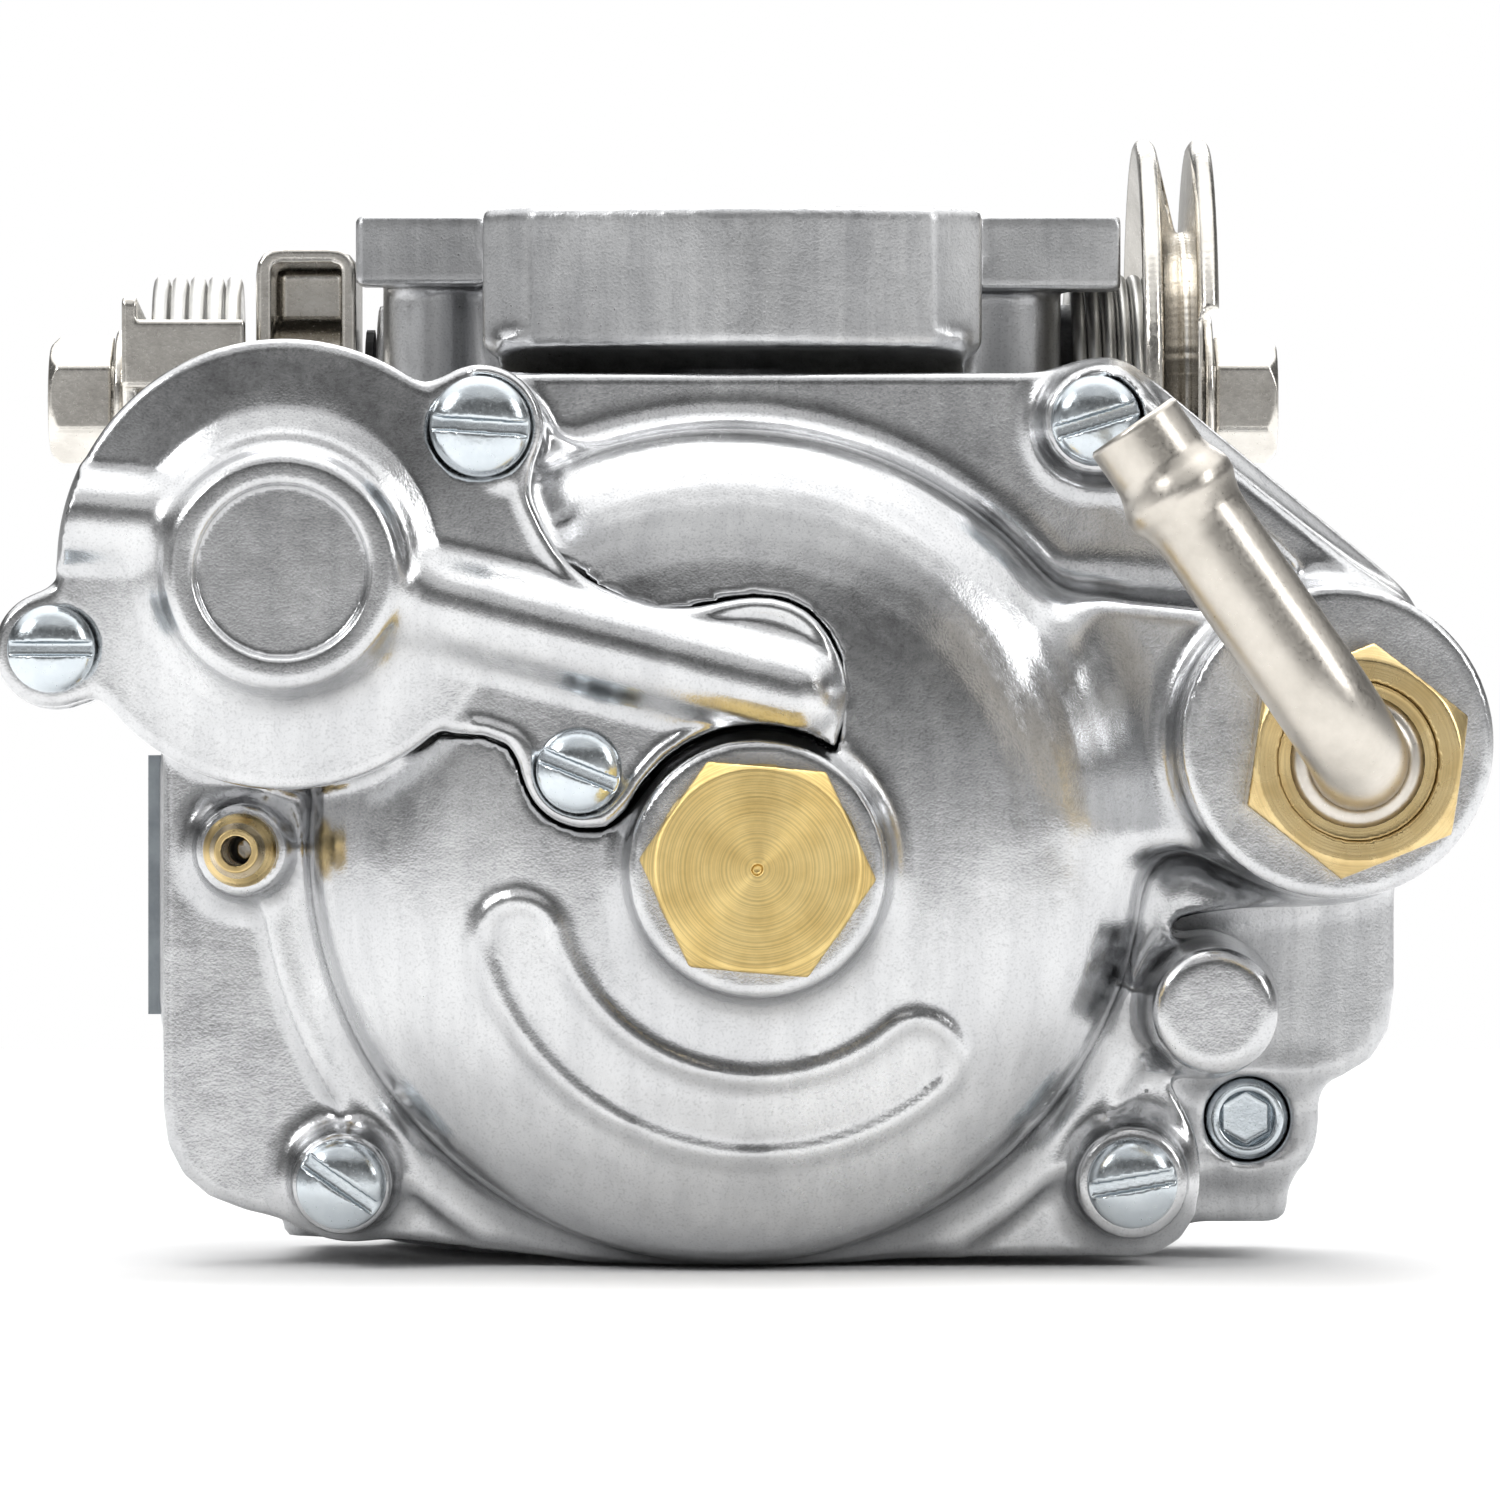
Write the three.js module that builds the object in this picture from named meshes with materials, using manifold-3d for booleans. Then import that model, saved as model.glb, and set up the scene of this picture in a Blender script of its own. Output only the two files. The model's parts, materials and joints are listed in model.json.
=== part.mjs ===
// A side-draught butterfly carburetor for a motorcycle, standing on its air-cleaner face.
// Millimetres. X runs right along the throttle shaft, Z up along the bore from the air-cleaner face to
// the manifold face, and the float bowl hangs off the front of the body, towards -Y.
import * as THREE from "three";
import { mergeVertices } from "three/addons/utils/BufferGeometryUtils.js";
import Module from "manifold-3d";

const wasm = await Module();
wasm.setup();

// ---------------------------------------------------------------- driving dimensions

const GAP = 0.3; // between pieces that touch

// Body and bore
const BODY_HEIGHT = 101;
const BARREL_R = 29;
const BORE_R = 23.8; // a 1 7/8 in throttle bore
const VENTURI_R = 19.85;
const BELL_R = 31; // mouth of the air horn
const VENTURI_Z = [36, 46]; // straight part of the throat
const BORE_Z = 64; // the bore is straight above this
const FLANGE_THICK = 13.6;
const EAR_THICK = 4.3;

// Planes of the front stack, from the body out to the pump cap
const BODY_FACE = -29.1;
const GASKET_THICK = 0.8;
const BOWL_BACK = BODY_FACE - GASKET_THICK - 2 * GAP;
const RIM_FACE = -38; // front of the bowl's rim plate
const DOME_SIDE = -41; // where the dome starts to round over
const DOME_CROWN = -57;
const PLUG_SEAT = -60.5; // machined ring round the drain plug
const PUMP_LAND = -53.2; // where the pump diaphragm is clamped
const DIAPHRAGM_THICK = 0.4;
const CAP_BACK = PUMP_LAND - DIAPHRAGM_THICK - 2 * GAP;
const CAP_FACE = CAP_BACK - 4;
const CAP_BOSS_FACE = CAP_BACK - 9.2;
const INLET_BOSS_FACE = -61.5;

// Centres on the front, as [x, z]
const DOME = [-0.5, 39.9];
const DOME_R = 39.7;
const WALL = 3.2;
const PLUG = [2.4, 38];
const PUMP = [-41.7, 66.3];
const PUMP_R = 20.9;
const NIPPLE = [-46.6, 39.5];
const BUTTON = [45.4, 24.5];
const INLET_BOSS = [56.2, 49.7];
const INLET_BOSS_R = 14.5;
const INLET = [57.6, 48];
const NOZZLE = [5.9, 54.1];
const JET = [-9, 30]; // intermediate jet
const SOCKET_SCREW = [49.7, 13.4];
const EAR_TOP = [-23.4, 79.1]; // ears of the pump cap, each with its screw
const EAR_LEFT = [-63.3, 58.4];
const EAR_INNER = [-14.2, 47.1];

// Passages, and the columns cast round them
const PASSAGE_R = 1.9;
const PASSAGE_COLUMN_R = 4.2;
const SCREW_COLUMN_R = 4.6;
const ROD_R = 1.9; // accelerator pump rod
const ROD_HOLE_R = ROD_R + 0.4;
const PUMP_CHAMBER_R = 14.5;
const PLUG_BOSS_R = 13.4;
const PLUG_SHANK_R = 6.5;
const INLET_BORE_R = 4.2;
const NIPPLE_BORE_R = 1.2;

// Back of the body: x and z of axes that run along Y
const MIXTURE = [-8, 92]; // idle mixture screw
const IDLE = [-53, 68]; // idle speed screw
const ENRICH = [18, 58]; // enrichment plunger

// Manifold bolts as [x, y], and the plate on the body's left side
const MANIFOLD_BOLTS = [[-29.5, -12.5], [27.4, -12.5]];
const BOLT_R = 3.2;
const SIDE_PLATE = { x: -55.2, z: [23.5, 48.5], y: [-27, -7] };
const SIDE_SCREWS = [[-22, 28], [-12, 44]]; // y, z
const SIDE_HEAD_R = 2.6; // their countersunk heads lie in the plate
const SIDE_SHANK_R = 1.2;

// Throttle shaft
const SHAFT_Z = 83.8;
const SHAFT_R = 3.97; // 5/16 in
const SHAFT_FIT = 0.1; // radial clearance in its bores

// Float gear
const FLOAT_PIN = [43, -34]; // x, y of the hinge pin, which runs along Z
const FLOAT_IN_R = 22.5;
const FLOAT_OUT_R = 33;

const HEX_PLUG_AF = 19.05; // 3/4 in
const HEX_SHAFT_AF = 11.11; // 7/16 in
const HEX_HEIGHT = 7.7; // heads of the drain plug and the inlet nut

// ---------------------------------------------------------------- materials

const metal = (color, roughness, metalness = 1) =>
  new THREE.MeshStandardMaterial({ color, roughness, metalness });
const aluminium = () => metal(0xc4c6c8, 0.38);
const brass = () => metal(0xc79a3f, 0.32);
const zinc = () => metal(0xb9c2c8, 0.35);
const nickel = () => metal(0xcbc5b8, 0.25);
const spring = () => metal(0xb4b4b0, 0.3);
const paper = () => metal(0x6d6a5c, 0.9, 0);
const rubber = () => metal(0x1c1c1d, 0.8, 0);
const plastic = () => metal(0x26282b, 0.5, 0);

// ---------------------------------------------------------------- solids

// Every shape is drawn with its own Z as the long axis; these turn that axis to X, Y or Z of the part.
// Along Y the outline's two axes are the part's X and Z, and the shape's own Z points to -Y.
const X = new THREE.Vector3(1, 0, 0);
const Y = new THREE.Vector3(0, 1, 0);
const Z = new THREE.Vector3(0, 0, 1);
const TURN = {
  x: new THREE.Matrix4().makeBasis(Y, Z, X),
  y: new THREE.Matrix4().makeBasis(X, Z, Y.clone().negate()),
  z: new THREE.Matrix4(),
};

/** A closed three.js geometry as a solid that can be joined and cut. */
function solid(geometry) {
  const bare = geometry.clone();
  bare.deleteAttribute("normal");
  bare.deleteAttribute("uv");
  const merged = mergeVertices(bare, 1e-4);
  const index = merged.index.array;
  const triangles = [];
  for (let i = 0; i < index.length; i += 3) {
    const [a, b, c] = index.slice(i, i + 3);
    if (a !== b && b !== c && c !== a) triangles.push(a, b, c);
  }
  return new wasm.Manifold(
    new wasm.Mesh({
      numProp: 3,
      vertProperties: new Float32Array(merged.attributes.position.array),
      triVerts: new Uint32Array(triangles),
    }),
  );
}

/** The solid's surface as a flat-shaded three.js geometry. */
function surface(shape) {
  const mesh = shape.getMesh();
  const geometry = new THREE.BufferGeometry();
  geometry.setAttribute("position", new THREE.BufferAttribute(mesh.vertProperties, 3));
  geometry.setIndex(new THREE.BufferAttribute(mesh.triVerts, 1));
  const flat = geometry.toNonIndexed();
  flat.computeVertexNormals();
  return flat;
}

const join = (...shapes) => shapes.reduce((whole, shape) => whole.add(shape));
const cut = (shape, ...tools) => tools.reduce((left, tool) => left.subtract(tool), shape);

/** Turns a geometry drawn round its own Z so that Z lies on the axis, through `centre`. */
function placed(geometry, axis, centre) {
  geometry.translate(centre[0], centre[1], 0);
  return solid(geometry.applyMatrix4(TURN[axis]));
}

/** Two positions on an axis as the lower and upper ends on the shape's own Z. */
function ends(axis, from, to) {
  const along = axis === "y" ? -1 : 1;
  return [along * from, along * to].sort((a, b) => a - b);
}

/** An outline extruded between two positions on an axis. */
function prism(axis, outline, from, to, steps = 3) {
  const [low, high] = ends(axis, from, to);
  const shape = { depth: high - low, bevelEnabled: false, curveSegments: steps };
  const geometry = new THREE.ExtrudeGeometry(outline, shape);
  return placed(geometry.translate(0, 0, low), axis, [0, 0]);
}

/** A round bar, or a cone if `endRadius` differs, between two positions on an axis. */
function bar(axis, centre, radius, from, to, endRadius = radius, sides = 16) {
  const [low, high] = ends(axis, from, to);
  const rising = axis === "y" ? from > to : to > from;
  const [bottom, top] = rising ? [radius, endRadius] : [endRadius, radius];
  const geometry = new THREE.CylinderGeometry(top, bottom, high - low, sides);
  geometry.rotateX(Math.PI / 2).translate(0, 0, (low + high) / 2);
  return placed(geometry, axis, centre);
}

/** A solid of revolution from [radius, position on the axis] points that start and end on the axis. */
function turned(axis, centre, profile, sides = 20) {
  const along = axis === "y" ? -1 : 1;
  const points = profile.map(([r, s]) => new THREE.Vector2(r, along * s));
  if (points[0].y > points.at(-1).y) points.reverse();
  const geometry = new THREE.LatheGeometry(points, sides);
  return placed(geometry.rotateX(Math.PI / 2), axis, centre);
}

/** A tube of square-cut section between two positions on an axis. */
function tube(axis, centre, outer, inner, from, to, sides = 20) {
  const past = Math.sign(to - from);
  const hole = bar(axis, centre, inner, from - past, to + past, inner, sides);
  return cut(bar(axis, centre, outer, from, to, outer, sides), hole);
}

/** A box given by its low and high corners. */
function block(low, high) {
  const size = high.map((value, i) => value - low[i]);
  const geometry = new THREE.BoxGeometry(...size);
  return solid(geometry.translate(...low.map((value, i) => value + size[i] / 2)));
}

/** A hexagonal bar with its corners turned by `angle` radians. */
function hexBar(axis, centre, acrossFlats, from, to, angle = 0) {
  const outline = new THREE.Shape(
    Array.from({ length: 6 }, (_, i) => {
      const turn = angle + (i * Math.PI) / 3;
      const r = acrossFlats / Math.sqrt(3);
      return new THREE.Vector2(centre[0] + r * Math.cos(turn), centre[1] + r * Math.sin(turn));
    }),
  );
  return prism(axis, outline, from, to);
}

/** An outline through the points, with each corner rounded to the radius in its third value. */
function rounded(points) {
  const shape = new THREE.Shape();
  points.forEach(([x, y, radius = 0], i) => {
    const corner = new THREE.Vector2(x, y);
    const before = new THREE.Vector2(...points.at(i - 1)).sub(corner).setLength(radius || 1e-6);
    const after = new THREE.Vector2(...points[(i + 1) % points.length]).sub(corner);
    after.setLength(radius || 1e-6);
    const [start, end] = [corner.clone().add(before), corner.clone().add(after)];
    if (i === 0) shape.moveTo(start.x, start.y);
    else shape.lineTo(start.x, start.y);
    if (radius) shape.quadraticCurveTo(x, y, end.x, end.y);
  });
  return shape;
}

/** A regular polygon round the origin, the section of a wire or a tube. */
function polygon(radius, sides) {
  return new THREE.Shape(
    Array.from({ length: sides }, (_, i) => {
      const turn = (2 * Math.PI * i) / sides;
      return new THREE.Vector2(radius * Math.cos(turn), radius * Math.sin(turn));
    }),
  );
}

/** A coil spring along an axis, from the first coil's centre plane to the last one's. */
class Coil extends THREE.Curve {
  constructor(radius, length, turns) {
    super();
    Object.assign(this, { radius, length, turns });
  }
  getPoint(t) {
    const angle = 2 * Math.PI * this.turns * t;
    return new THREE.Vector3(
      this.radius * Math.cos(angle),
      this.radius * Math.sin(angle),
      this.length * t,
    );
  }
}

function coilSpring(axis, centre, radius, wire, from, to, turns, sides = 5, stepsPerTurn = 10) {
  const [low, high] = ends(axis, from, to);
  const geometry = new THREE.ExtrudeGeometry(polygon(wire / 2, sides), {
    steps: Math.round(turns * stepsPerTurn),
    extrudePath: new Coil(radius, high - low, turns),
  });
  return placed(geometry.translate(0, 0, low), axis, centre);
}

// ---------------------------------------------------------------- assembly

const carburetor = new THREE.Group();

/** Adds a solid to the assembly as a named mesh. */
function add(name, material, shape, parent = carburetor) {
  const mesh = new THREE.Mesh(surface(shape), material);
  mesh.name = name;
  parent.add(mesh);
  return mesh;
}

// ---------------------------------------------------------------- fasteners

/** A slotted pan-head screw: head above its own Z = 0, shank below it. */
function panScrew(headR, headHeight, shankR, shankLength, slotAngle) {
  const head = turned("z", [0, 0], [
    [0, 0],
    [headR, 0],
    [headR, headHeight * 0.45],
    [headR * 0.6, headHeight],
    [0, headHeight],
  ], 16);
  const shank = bar("z", [0, 0], shankR, -shankLength, 0.1, shankR, 10);
  const slotWidth = headR * 0.3;
  const slot = new THREE.BoxGeometry(headR * 3, slotWidth, headHeight);
  slot.rotateZ(slotAngle).translate(0, 0, headHeight);
  return cut(join(head, shank), solid(slot));
}

/** A slotted countersunk screw: top of the head at its own Z = 0, the rest below it. */
function flushScrew(headR, headHeight, shankR, shankLength, slotAngle) {
  const head = bar("z", [0, 0], shankR, -headHeight, 0, headR);
  const shank = bar("z", [0, 0], shankR, -shankLength, -headHeight + 0.1, shankR, 16);
  const slot = new THREE.BoxGeometry(headR * 3, headR * 0.25, headHeight);
  slot.rotateZ(slotAngle);
  return cut(join(head, shank), solid(slot));
}

const SCREW_R = 2.1;
const SCREW_HOLE_R = SCREW_R + GAP;
const degrees = THREE.MathUtils.degToRad;

/** Screws whose heads face -Y: place is [x, z], seat the plane under the head. */
const FRONT_SCREWS = [
  { name: "bowl_screw_lower_left", place: [-37, 7.9], seat: -43, headR: 4.1, slot: -35 },
  { name: "bowl_screw_lower_right", place: [37.9, 8], seat: -43, headR: 4.1, slot: 10 },
  { name: "bowl_screw_upper_right", place: [34.5, 80.2], seat: -42, headR: 4.1, slot: 17 },
  { name: "pump_cap_screw_top", place: EAR_TOP, seat: CAP_FACE, headR: 4.7, slot: -4 },
  { name: "pump_cap_screw_left", place: EAR_LEFT, seat: CAP_FACE, headR: 4.1, slot: 0 },
  { name: "pump_cap_screw_inner", place: EAR_INNER, seat: CAP_FACE, headR: 4, slot: -22 },
];
const IN_FRONT = -75; // where cuts made from the front start
const SCREW_END = { pump_cap_screw_left: -44, pump_cap_screw_inner: -46.5 }; // shorter than the rest
const BOWL_SCREWS = FRONT_SCREWS.slice(0, 3);
const CAP_SCREWS = FRONT_SCREWS.slice(3);
const screwEnd = (screw) => SCREW_END[screw.name] ?? -22;

function frontScrews() {
  for (const screw of FRONT_SCREWS) {
    const seat = screw.seat - GAP;
    const length = screwEnd(screw) - seat;
    const shape = panScrew(screw.headR, 2.9, SCREW_R, length, degrees(screw.slot));
    const mesh = add(screw.name, zinc(), shape);
    mesh.position.set(screw.place[0], seat, screw.place[1]);
    mesh.rotation.x = Math.PI / 2;
  }
}

/** Clearance holes for the front screws, from in front of their heads to just past their ends. */
const screwHoles = () =>
  FRONT_SCREWS.map((screw) => {
    const bottom = screwEnd(screw) + 0.5;
    return bar("y", screw.place, SCREW_HOLE_R, IN_FRONT, bottom, SCREW_HOLE_R, 12);
  });

// ---------------------------------------------------------------- throttle body

/** Outline shared by the bowl's rim plate, its gasket and the body's matching face. */
function rimOutline(inset = 0) {
  const i = inset;
  return rounded([
    [-54.3 + i, 7 + i, 8],
    [-37, 2.9 + i, 2],
    [-13.6, 0.4 + i, 3],
    [44.4 - i, 0.8 + i, 7],
    [44.2 - i, 13.5, 3],
    [40.5 - i, 18.5, 2],
    [41 - i, 33, 3],
    [64 - i, 36, 5],
    [63.6 - i, 63.3 - i, 4],
    [38 - i, 85 - i, 4],
    [-28, 85 - i, 4],
    [-54.3 + i, 62, 4],
  ]);
}

/** The bore as a tool: air horn bell, venturi, then straight to the manifold face. */
function boreTool() {
  const profile = [[0, -1], [BELL_R, -1]];
  const steps = 5;
  for (let k = 0; k <= steps; k++) {
    const ease = Math.sin((k / steps) * (Math.PI / 2));
    profile.push([BELL_R + (VENTURI_R - BELL_R) * ease, VENTURI_Z[0] * (k / steps)]);
  }
  for (let k = 0; k <= steps; k++) {
    const ease = (1 - Math.cos((k / steps) * Math.PI)) / 2;
    const z = VENTURI_Z[1] + (BORE_Z - VENTURI_Z[1]) * (k / steps);
    profile.push([VENTURI_R + (BORE_R - VENTURI_R) * ease, z]);
  }
  profile.push([BORE_R, BODY_HEIGHT + 1], [0, BODY_HEIGHT + 1]);
  return turned("z", [0, 0], profile, 40);
}

/** Manifold flange: a thick prow at the front and a thinner plate with a bolt ear on each side. */
function manifoldFlange() {
  const prow = rounded([
    [-24, -18],
    [-24, -31],
    [-19.3, -35],
    [3.6, -39.2, 6],
    [19.3, -35],
    [24, -31],
    [24, -18],
  ]);
  const plate = rounded([
    [-36.7, -20, 3],
    [37.8, -20, 3],
    [37.8, 18, 8],
    [18, 30, 6],
    [-18, 30, 6],
    [-36.7, 18, 8],
  ]);
  const lip = rounded([[22, -19.6], [37.4, -19.6], [37.4, -14], [22, -14]]);
  return join(
    prism("z", prow, BODY_HEIGHT - FLANGE_THICK, BODY_HEIGHT),
    prism("z", plate, BODY_HEIGHT - EAR_THICK, BODY_HEIGHT),
    prism("z", lip, BODY_HEIGHT - 7, BODY_HEIGHT),
    bar("z", [0, 0], BARREL_R, BODY_HEIGHT - FLANGE_THICK, BODY_HEIGHT, BARREL_R, 36),
  );
}

const SPRING_BOSS_R = 9.5;

function throttleBody() {
  const inletFlange = rounded([
    [-36.8, -27, 6],
    [36.8, -27, 6],
    [36.8, 24, 10],
    [20, 35, 8],
    [-20, 35, 8],
    [-36.8, 24, 10],
  ]);
  const sideWall = rounded([
    [-30, 20],
    [-54.9, 20, 5],
    [-54.9, 52, 5],
    [-30, 52],
  ].reverse());
  const outside = join(
    bar("z", [0, 0], BARREL_R, 0, BODY_HEIGHT - 1, BARREL_R, 36),
    cut(bar("z", [0, 0], BELL_R + 4, 1, 20, BARREL_R, 36), block([-60, -60, 0], [60, -28, 30])),
    prism("z", inletFlange, 0, 6),
    manifoldFlange(),
    cut(prism("y", rimOutline(0.4), BODY_FACE, -19.3), block([37.9, -26.3, 56], [70, 0, 90])),
    prism("y", sideWall, BODY_FACE, -6),
    prism("y", rounded([[20, 17], [63.8, 17, 8], [63.8, 56, 4], [20, 56]]), BODY_FACE, -8),
    prism("y", rounded([[20, 8], [56.6, 8, 4], [56.6, 19], [20, 19]]), -27.5, -5),
    prism("y", rounded([[20, 3.4], [53.7, 3.4, 2], [53.7, 10], [20, 10]]), -26, -3),
    prism("z", rounded([[-43.4, -26, 3], [-20, -26], [-20, 0], [-43.4, 0, 3]]), 2, 9),
    ...MANIFOLD_BOLTS.map((place) => bar("z", place, 4.8, 72, BODY_HEIGHT - 1)),
    bar("x", [0, SHAFT_Z], SPRING_BOSS_R, -35.2, 41.8),
    bar("y", PLUG, PLUG_SHANK_R, -22, -48.5),
    bar("y", NOZZLE, PASSAGE_COLUMN_R, -22, BODY_FACE),
    bar("y", MIXTURE, 4.6, 15, 34),
    bar("y", ENRICH, 8, 10, 36),
    prism("y", rounded([[-28, 61], [-58, 61, 3], [-58, 74, 3], [-28, 76]].reverse()), 12, 20),
    block([-32, 5, 60], [-22, 20, 79]),
  );
  return cut(
    outside,
    boreTool(),
    bar("x", [0, SHAFT_Z], SHAFT_R + SHAFT_FIT, -40, 45, SHAFT_R + SHAFT_FIT, 32),
    ...MANIFOLD_BOLTS.map((place) =>
      bar("z", place, BOLT_R, BODY_HEIGHT - 11, BODY_HEIGHT + 1, BOLT_R, 16),
    ),
    ...screwHoles(),
    bar("y", PLUG, 3.3, -50, -15, 3.3, 20),
    bar("y", NOZZLE, PASSAGE_R, -40, -15, PASSAGE_R, 12),
    bar("y", JET, 2.8, -40, -24, 2.8, 16),
    bar("y", PUMP, ROD_HOLE_R, -40, -10, ROD_HOLE_R, 20),
    bar("y", MIXTURE, 2.4, 10, 40, 2.4, 16),
    bar("y", IDLE, 2.6, 5, 30, 2.6, 16),
    bar("y", ENRICH, 4.4, 14, 40, 4.4, 24),
    bar("y", SOCKET_SCREW, 4.4, -40, -22, 4.4, 24),
    bar("y", SOCKET_SCREW, 2.7, -40, -12, 2.7, 16),
    ...SIDE_SCREWS.map((place) => {
      const holeR = SIDE_SHANK_R + GAP;
      return bar("x", place, holeR, -60, -48, holeR, 12);
    }),
  );
}

// ---------------------------------------------------------------- float bowl

/** The dome as a solid of revolution, grown or shrunk by `offset`. */
function dome(offset, back) {
  const fillet = 16;
  const r = DOME_R + offset;
  const crown = DOME_CROWN - offset;
  const profile = [[0, back], [r, back]];
  const steps = 5;
  for (let k = 0; k <= steps; k++) {
    const angle = (k / steps) * (Math.PI / 2);
    profile.push([
      r - (fillet + offset) * (1 - Math.cos(angle)),
      DOME_SIDE - (fillet + offset) * Math.sin(angle),
    ]);
  }
  profile.push([0, crown]);
  return turned("y", DOME, profile, 36);
}

/** Outline of the pump cap's arm, from its round plate to the end of the passage beside the plug. */
function armOutline(grow = 0) {
  const shape = new THREE.Shape();
  shape.moveTo(-36, 76 + grow);
  shape.lineTo(-19.4 + grow, 74.4 + grow);
  shape.bezierCurveTo(-17 + grow, 67 + grow, -14, 64 + grow, -8, 62 + grow);
  shape.bezierCurveTo(-4, 61.4 + grow, -2, 63 + grow, 2, 63.2 + grow);
  shape.bezierCurveTo(7, 63.4 + grow, 10.4 + grow, 60 + grow, 10.2 + grow, 54);
  shape.lineTo(10.1 + grow, 49.8);
  shape.absarc(PLUG[0], PLUG[1], 13.2 - grow, degrees(57), degrees(144), false);
  shape.lineTo(-12, 42.6 - grow);
  shape.bezierCurveTo(-18, 43 - grow, -17, 51 - grow, -26, 50.6 - grow);
  shape.lineTo(-36, 56);
  return shape;
}

const CAP_EARS = [
  [EAR_TOP, 5.8],
  [EAR_LEFT, 5.4],
  [EAR_INNER, 5],
];

/** The full footprint of the pump cap between two planes. */
function pumpFootprint(grow, from, to) {
  return join(
    prism("y", armOutline(grow), from, to, 4),
    bar("y", PUMP, PUMP_R + grow, from, to, PUMP_R + grow, 32),
    ...CAP_EARS.map(([place, r]) => bar("y", place, r + grow, from, to, r + grow, 14)),
  );
}

/** The fuel space inside the bowl, with columns left standing for what passes through it. */
function bowlSpace() {
  return cut(
    dome(-WALL, BODY_FACE + 2),
    bar("y", PUMP, PUMP_CHAMBER_R + WALL, -60, PUMP_LAND + 8, PUMP_CHAMBER_R + WALL, 32),
    pumpFootprint(1.5, -60, PUMP_LAND + WALL),
    bar("y", EAR_INNER, SCREW_COLUMN_R, -60, -43.5, SCREW_COLUMN_R, 20),
    bar("y", NOZZLE, PASSAGE_COLUMN_R, -60, BOWL_BACK, PASSAGE_COLUMN_R, 20),
    bar("y", EAR_TOP, SCREW_COLUMN_R, -60, 0, SCREW_COLUMN_R, 20),
  );
}

function floatBowl() {
  const arm = rounded([[28, 40], [56, 37], [60, 63], [34, 68]]);
  const outside = join(
    prism("y", rimOutline(), BOWL_BACK, RIM_FACE),
    dome(0, BOWL_BACK),
    prism("y", arm, BOWL_BACK, -50),
    bar("y", INLET_BOSS, INLET_BOSS_R, BOWL_BACK, INLET_BOSS_FACE, INLET_BOSS_R, 28),
    bar("y", BUTTON, 6.6, BOWL_BACK, -52, 5.85),
    bar("y", NIPPLE, 4.6, BOWL_BACK, -42, 4.3),
    bar("y", PLUG, PLUG_BOSS_R, -50, PLUG_SEAT, 11.6, 28),
    ...BOWL_SCREWS.map((screw) => bar("y", screw.place, 6.4, BOWL_BACK, screw.seat, 5.6)),
    pumpFootprint(-0.5, -46, PUMP_LAND),
    bar("y", PUMP, PUMP_R - 0.5, BOWL_BACK, PUMP_LAND, PUMP_R - 0.5, 32),
    bar("y", EAR_LEFT, 4.9, -38, PUMP_LAND),
    bar("y", EAR_TOP, 5.3, BOWL_BACK, PUMP_LAND),
  );
  return cut(
    outside,
    bowlSpace(),
    pumpFootprint(GAP, PUMP_LAND, IN_FRONT), // the cap is let into the dome's crown
    ...BOWL_SCREWS.map((screw) => bar("y", screw.place, screw.headR + 0.9, screw.seat, IN_FRONT)),
    ...screwHoles(),
    bar("y", PLUG, PLUG_SHANK_R + 0.4, -48, IN_FRONT),
    bar("y", PLUG, 8.6, PLUG_SEAT + 1.4, IN_FRONT), // seat for the seal ring
    bar("y", PUMP, PUMP_CHAMBER_R, PUMP_LAND + 5, IN_FRONT, PUMP_CHAMBER_R, 28),
    bar("y", PUMP, ROD_HOLE_R, -20, -60, ROD_HOLE_R, 20),
    bar("y", NOZZLE, PASSAGE_R, -20, -60, PASSAGE_R, 12),
    bar("y", NIPPLE, 2.8, -36, -50, 2.8, 20),
    bar("y", NIPPLE, NIPPLE_BORE_R, -20, -50, NIPPLE_BORE_R, 12),
    block([30, -42, 43], [52, -20, 55]), // way through for the float's arm
    block([FLOAT_PIN[0] - 1.5, -35.5, 39], [FLOAT_PIN[0] + 1.5, -20, 60]), // slots for its pin
    bar("y", INLET, 8, -20, -44),
    bar("y", INLET, INLET_BORE_R, -20, IN_FRONT, INLET_BORE_R, 24),
    bar("y", INLET, 7.6, -54, IN_FRONT),
  );
}

function bowlGasket() {
  const back = BODY_FACE - GAP;
  const front = back - GASKET_THICK;
  return cut(
    prism("y", rimOutline(0.2), back, front),
    cut(dome(-WALL, -20), bar("y", EAR_TOP, SCREW_COLUMN_R, -60, 0, SCREW_COLUMN_R, 20)),
    block([30, -42, 39], [52, -20, 60]),
    bar("y", INLET, 8, -20, -44),
    bar("y", PUMP, ROD_HOLE_R, -40, -20, ROD_HOLE_R, 20),
    ...screwHoles(),
  );
}

function drainPlug() {
  const back = PLUG_SEAT - GAP;
  const face = back - HEX_HEIGHT;
  const hex = hexBar("y", PLUG, HEX_PLUG_AF, back, face, degrees(-5));
  const turnedEdge = turned("y", PLUG, [
    [0, back + 1],
    [11.4, back + 1],
    [11.4, face + 1.1],
    [9.4, face],
    [0, face],
  ], 24);
  const shank = bar("y", PLUG, PLUG_SHANK_R, back + 6, back - 0.5);
  const chamfered = hex.intersect(turnedEdge);
  add("bowl_plug", brass(), join(chamfered, shank));
}

/** A round-section sealing ring lying square to Y. */
function sealRing(name, centre, y, radius, section) {
  const torus = new THREE.TorusGeometry(radius, section, 4, 18);
  add(name, rubber(), placed(torus.translate(0, 0, -y), "y", centre));
}

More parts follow.
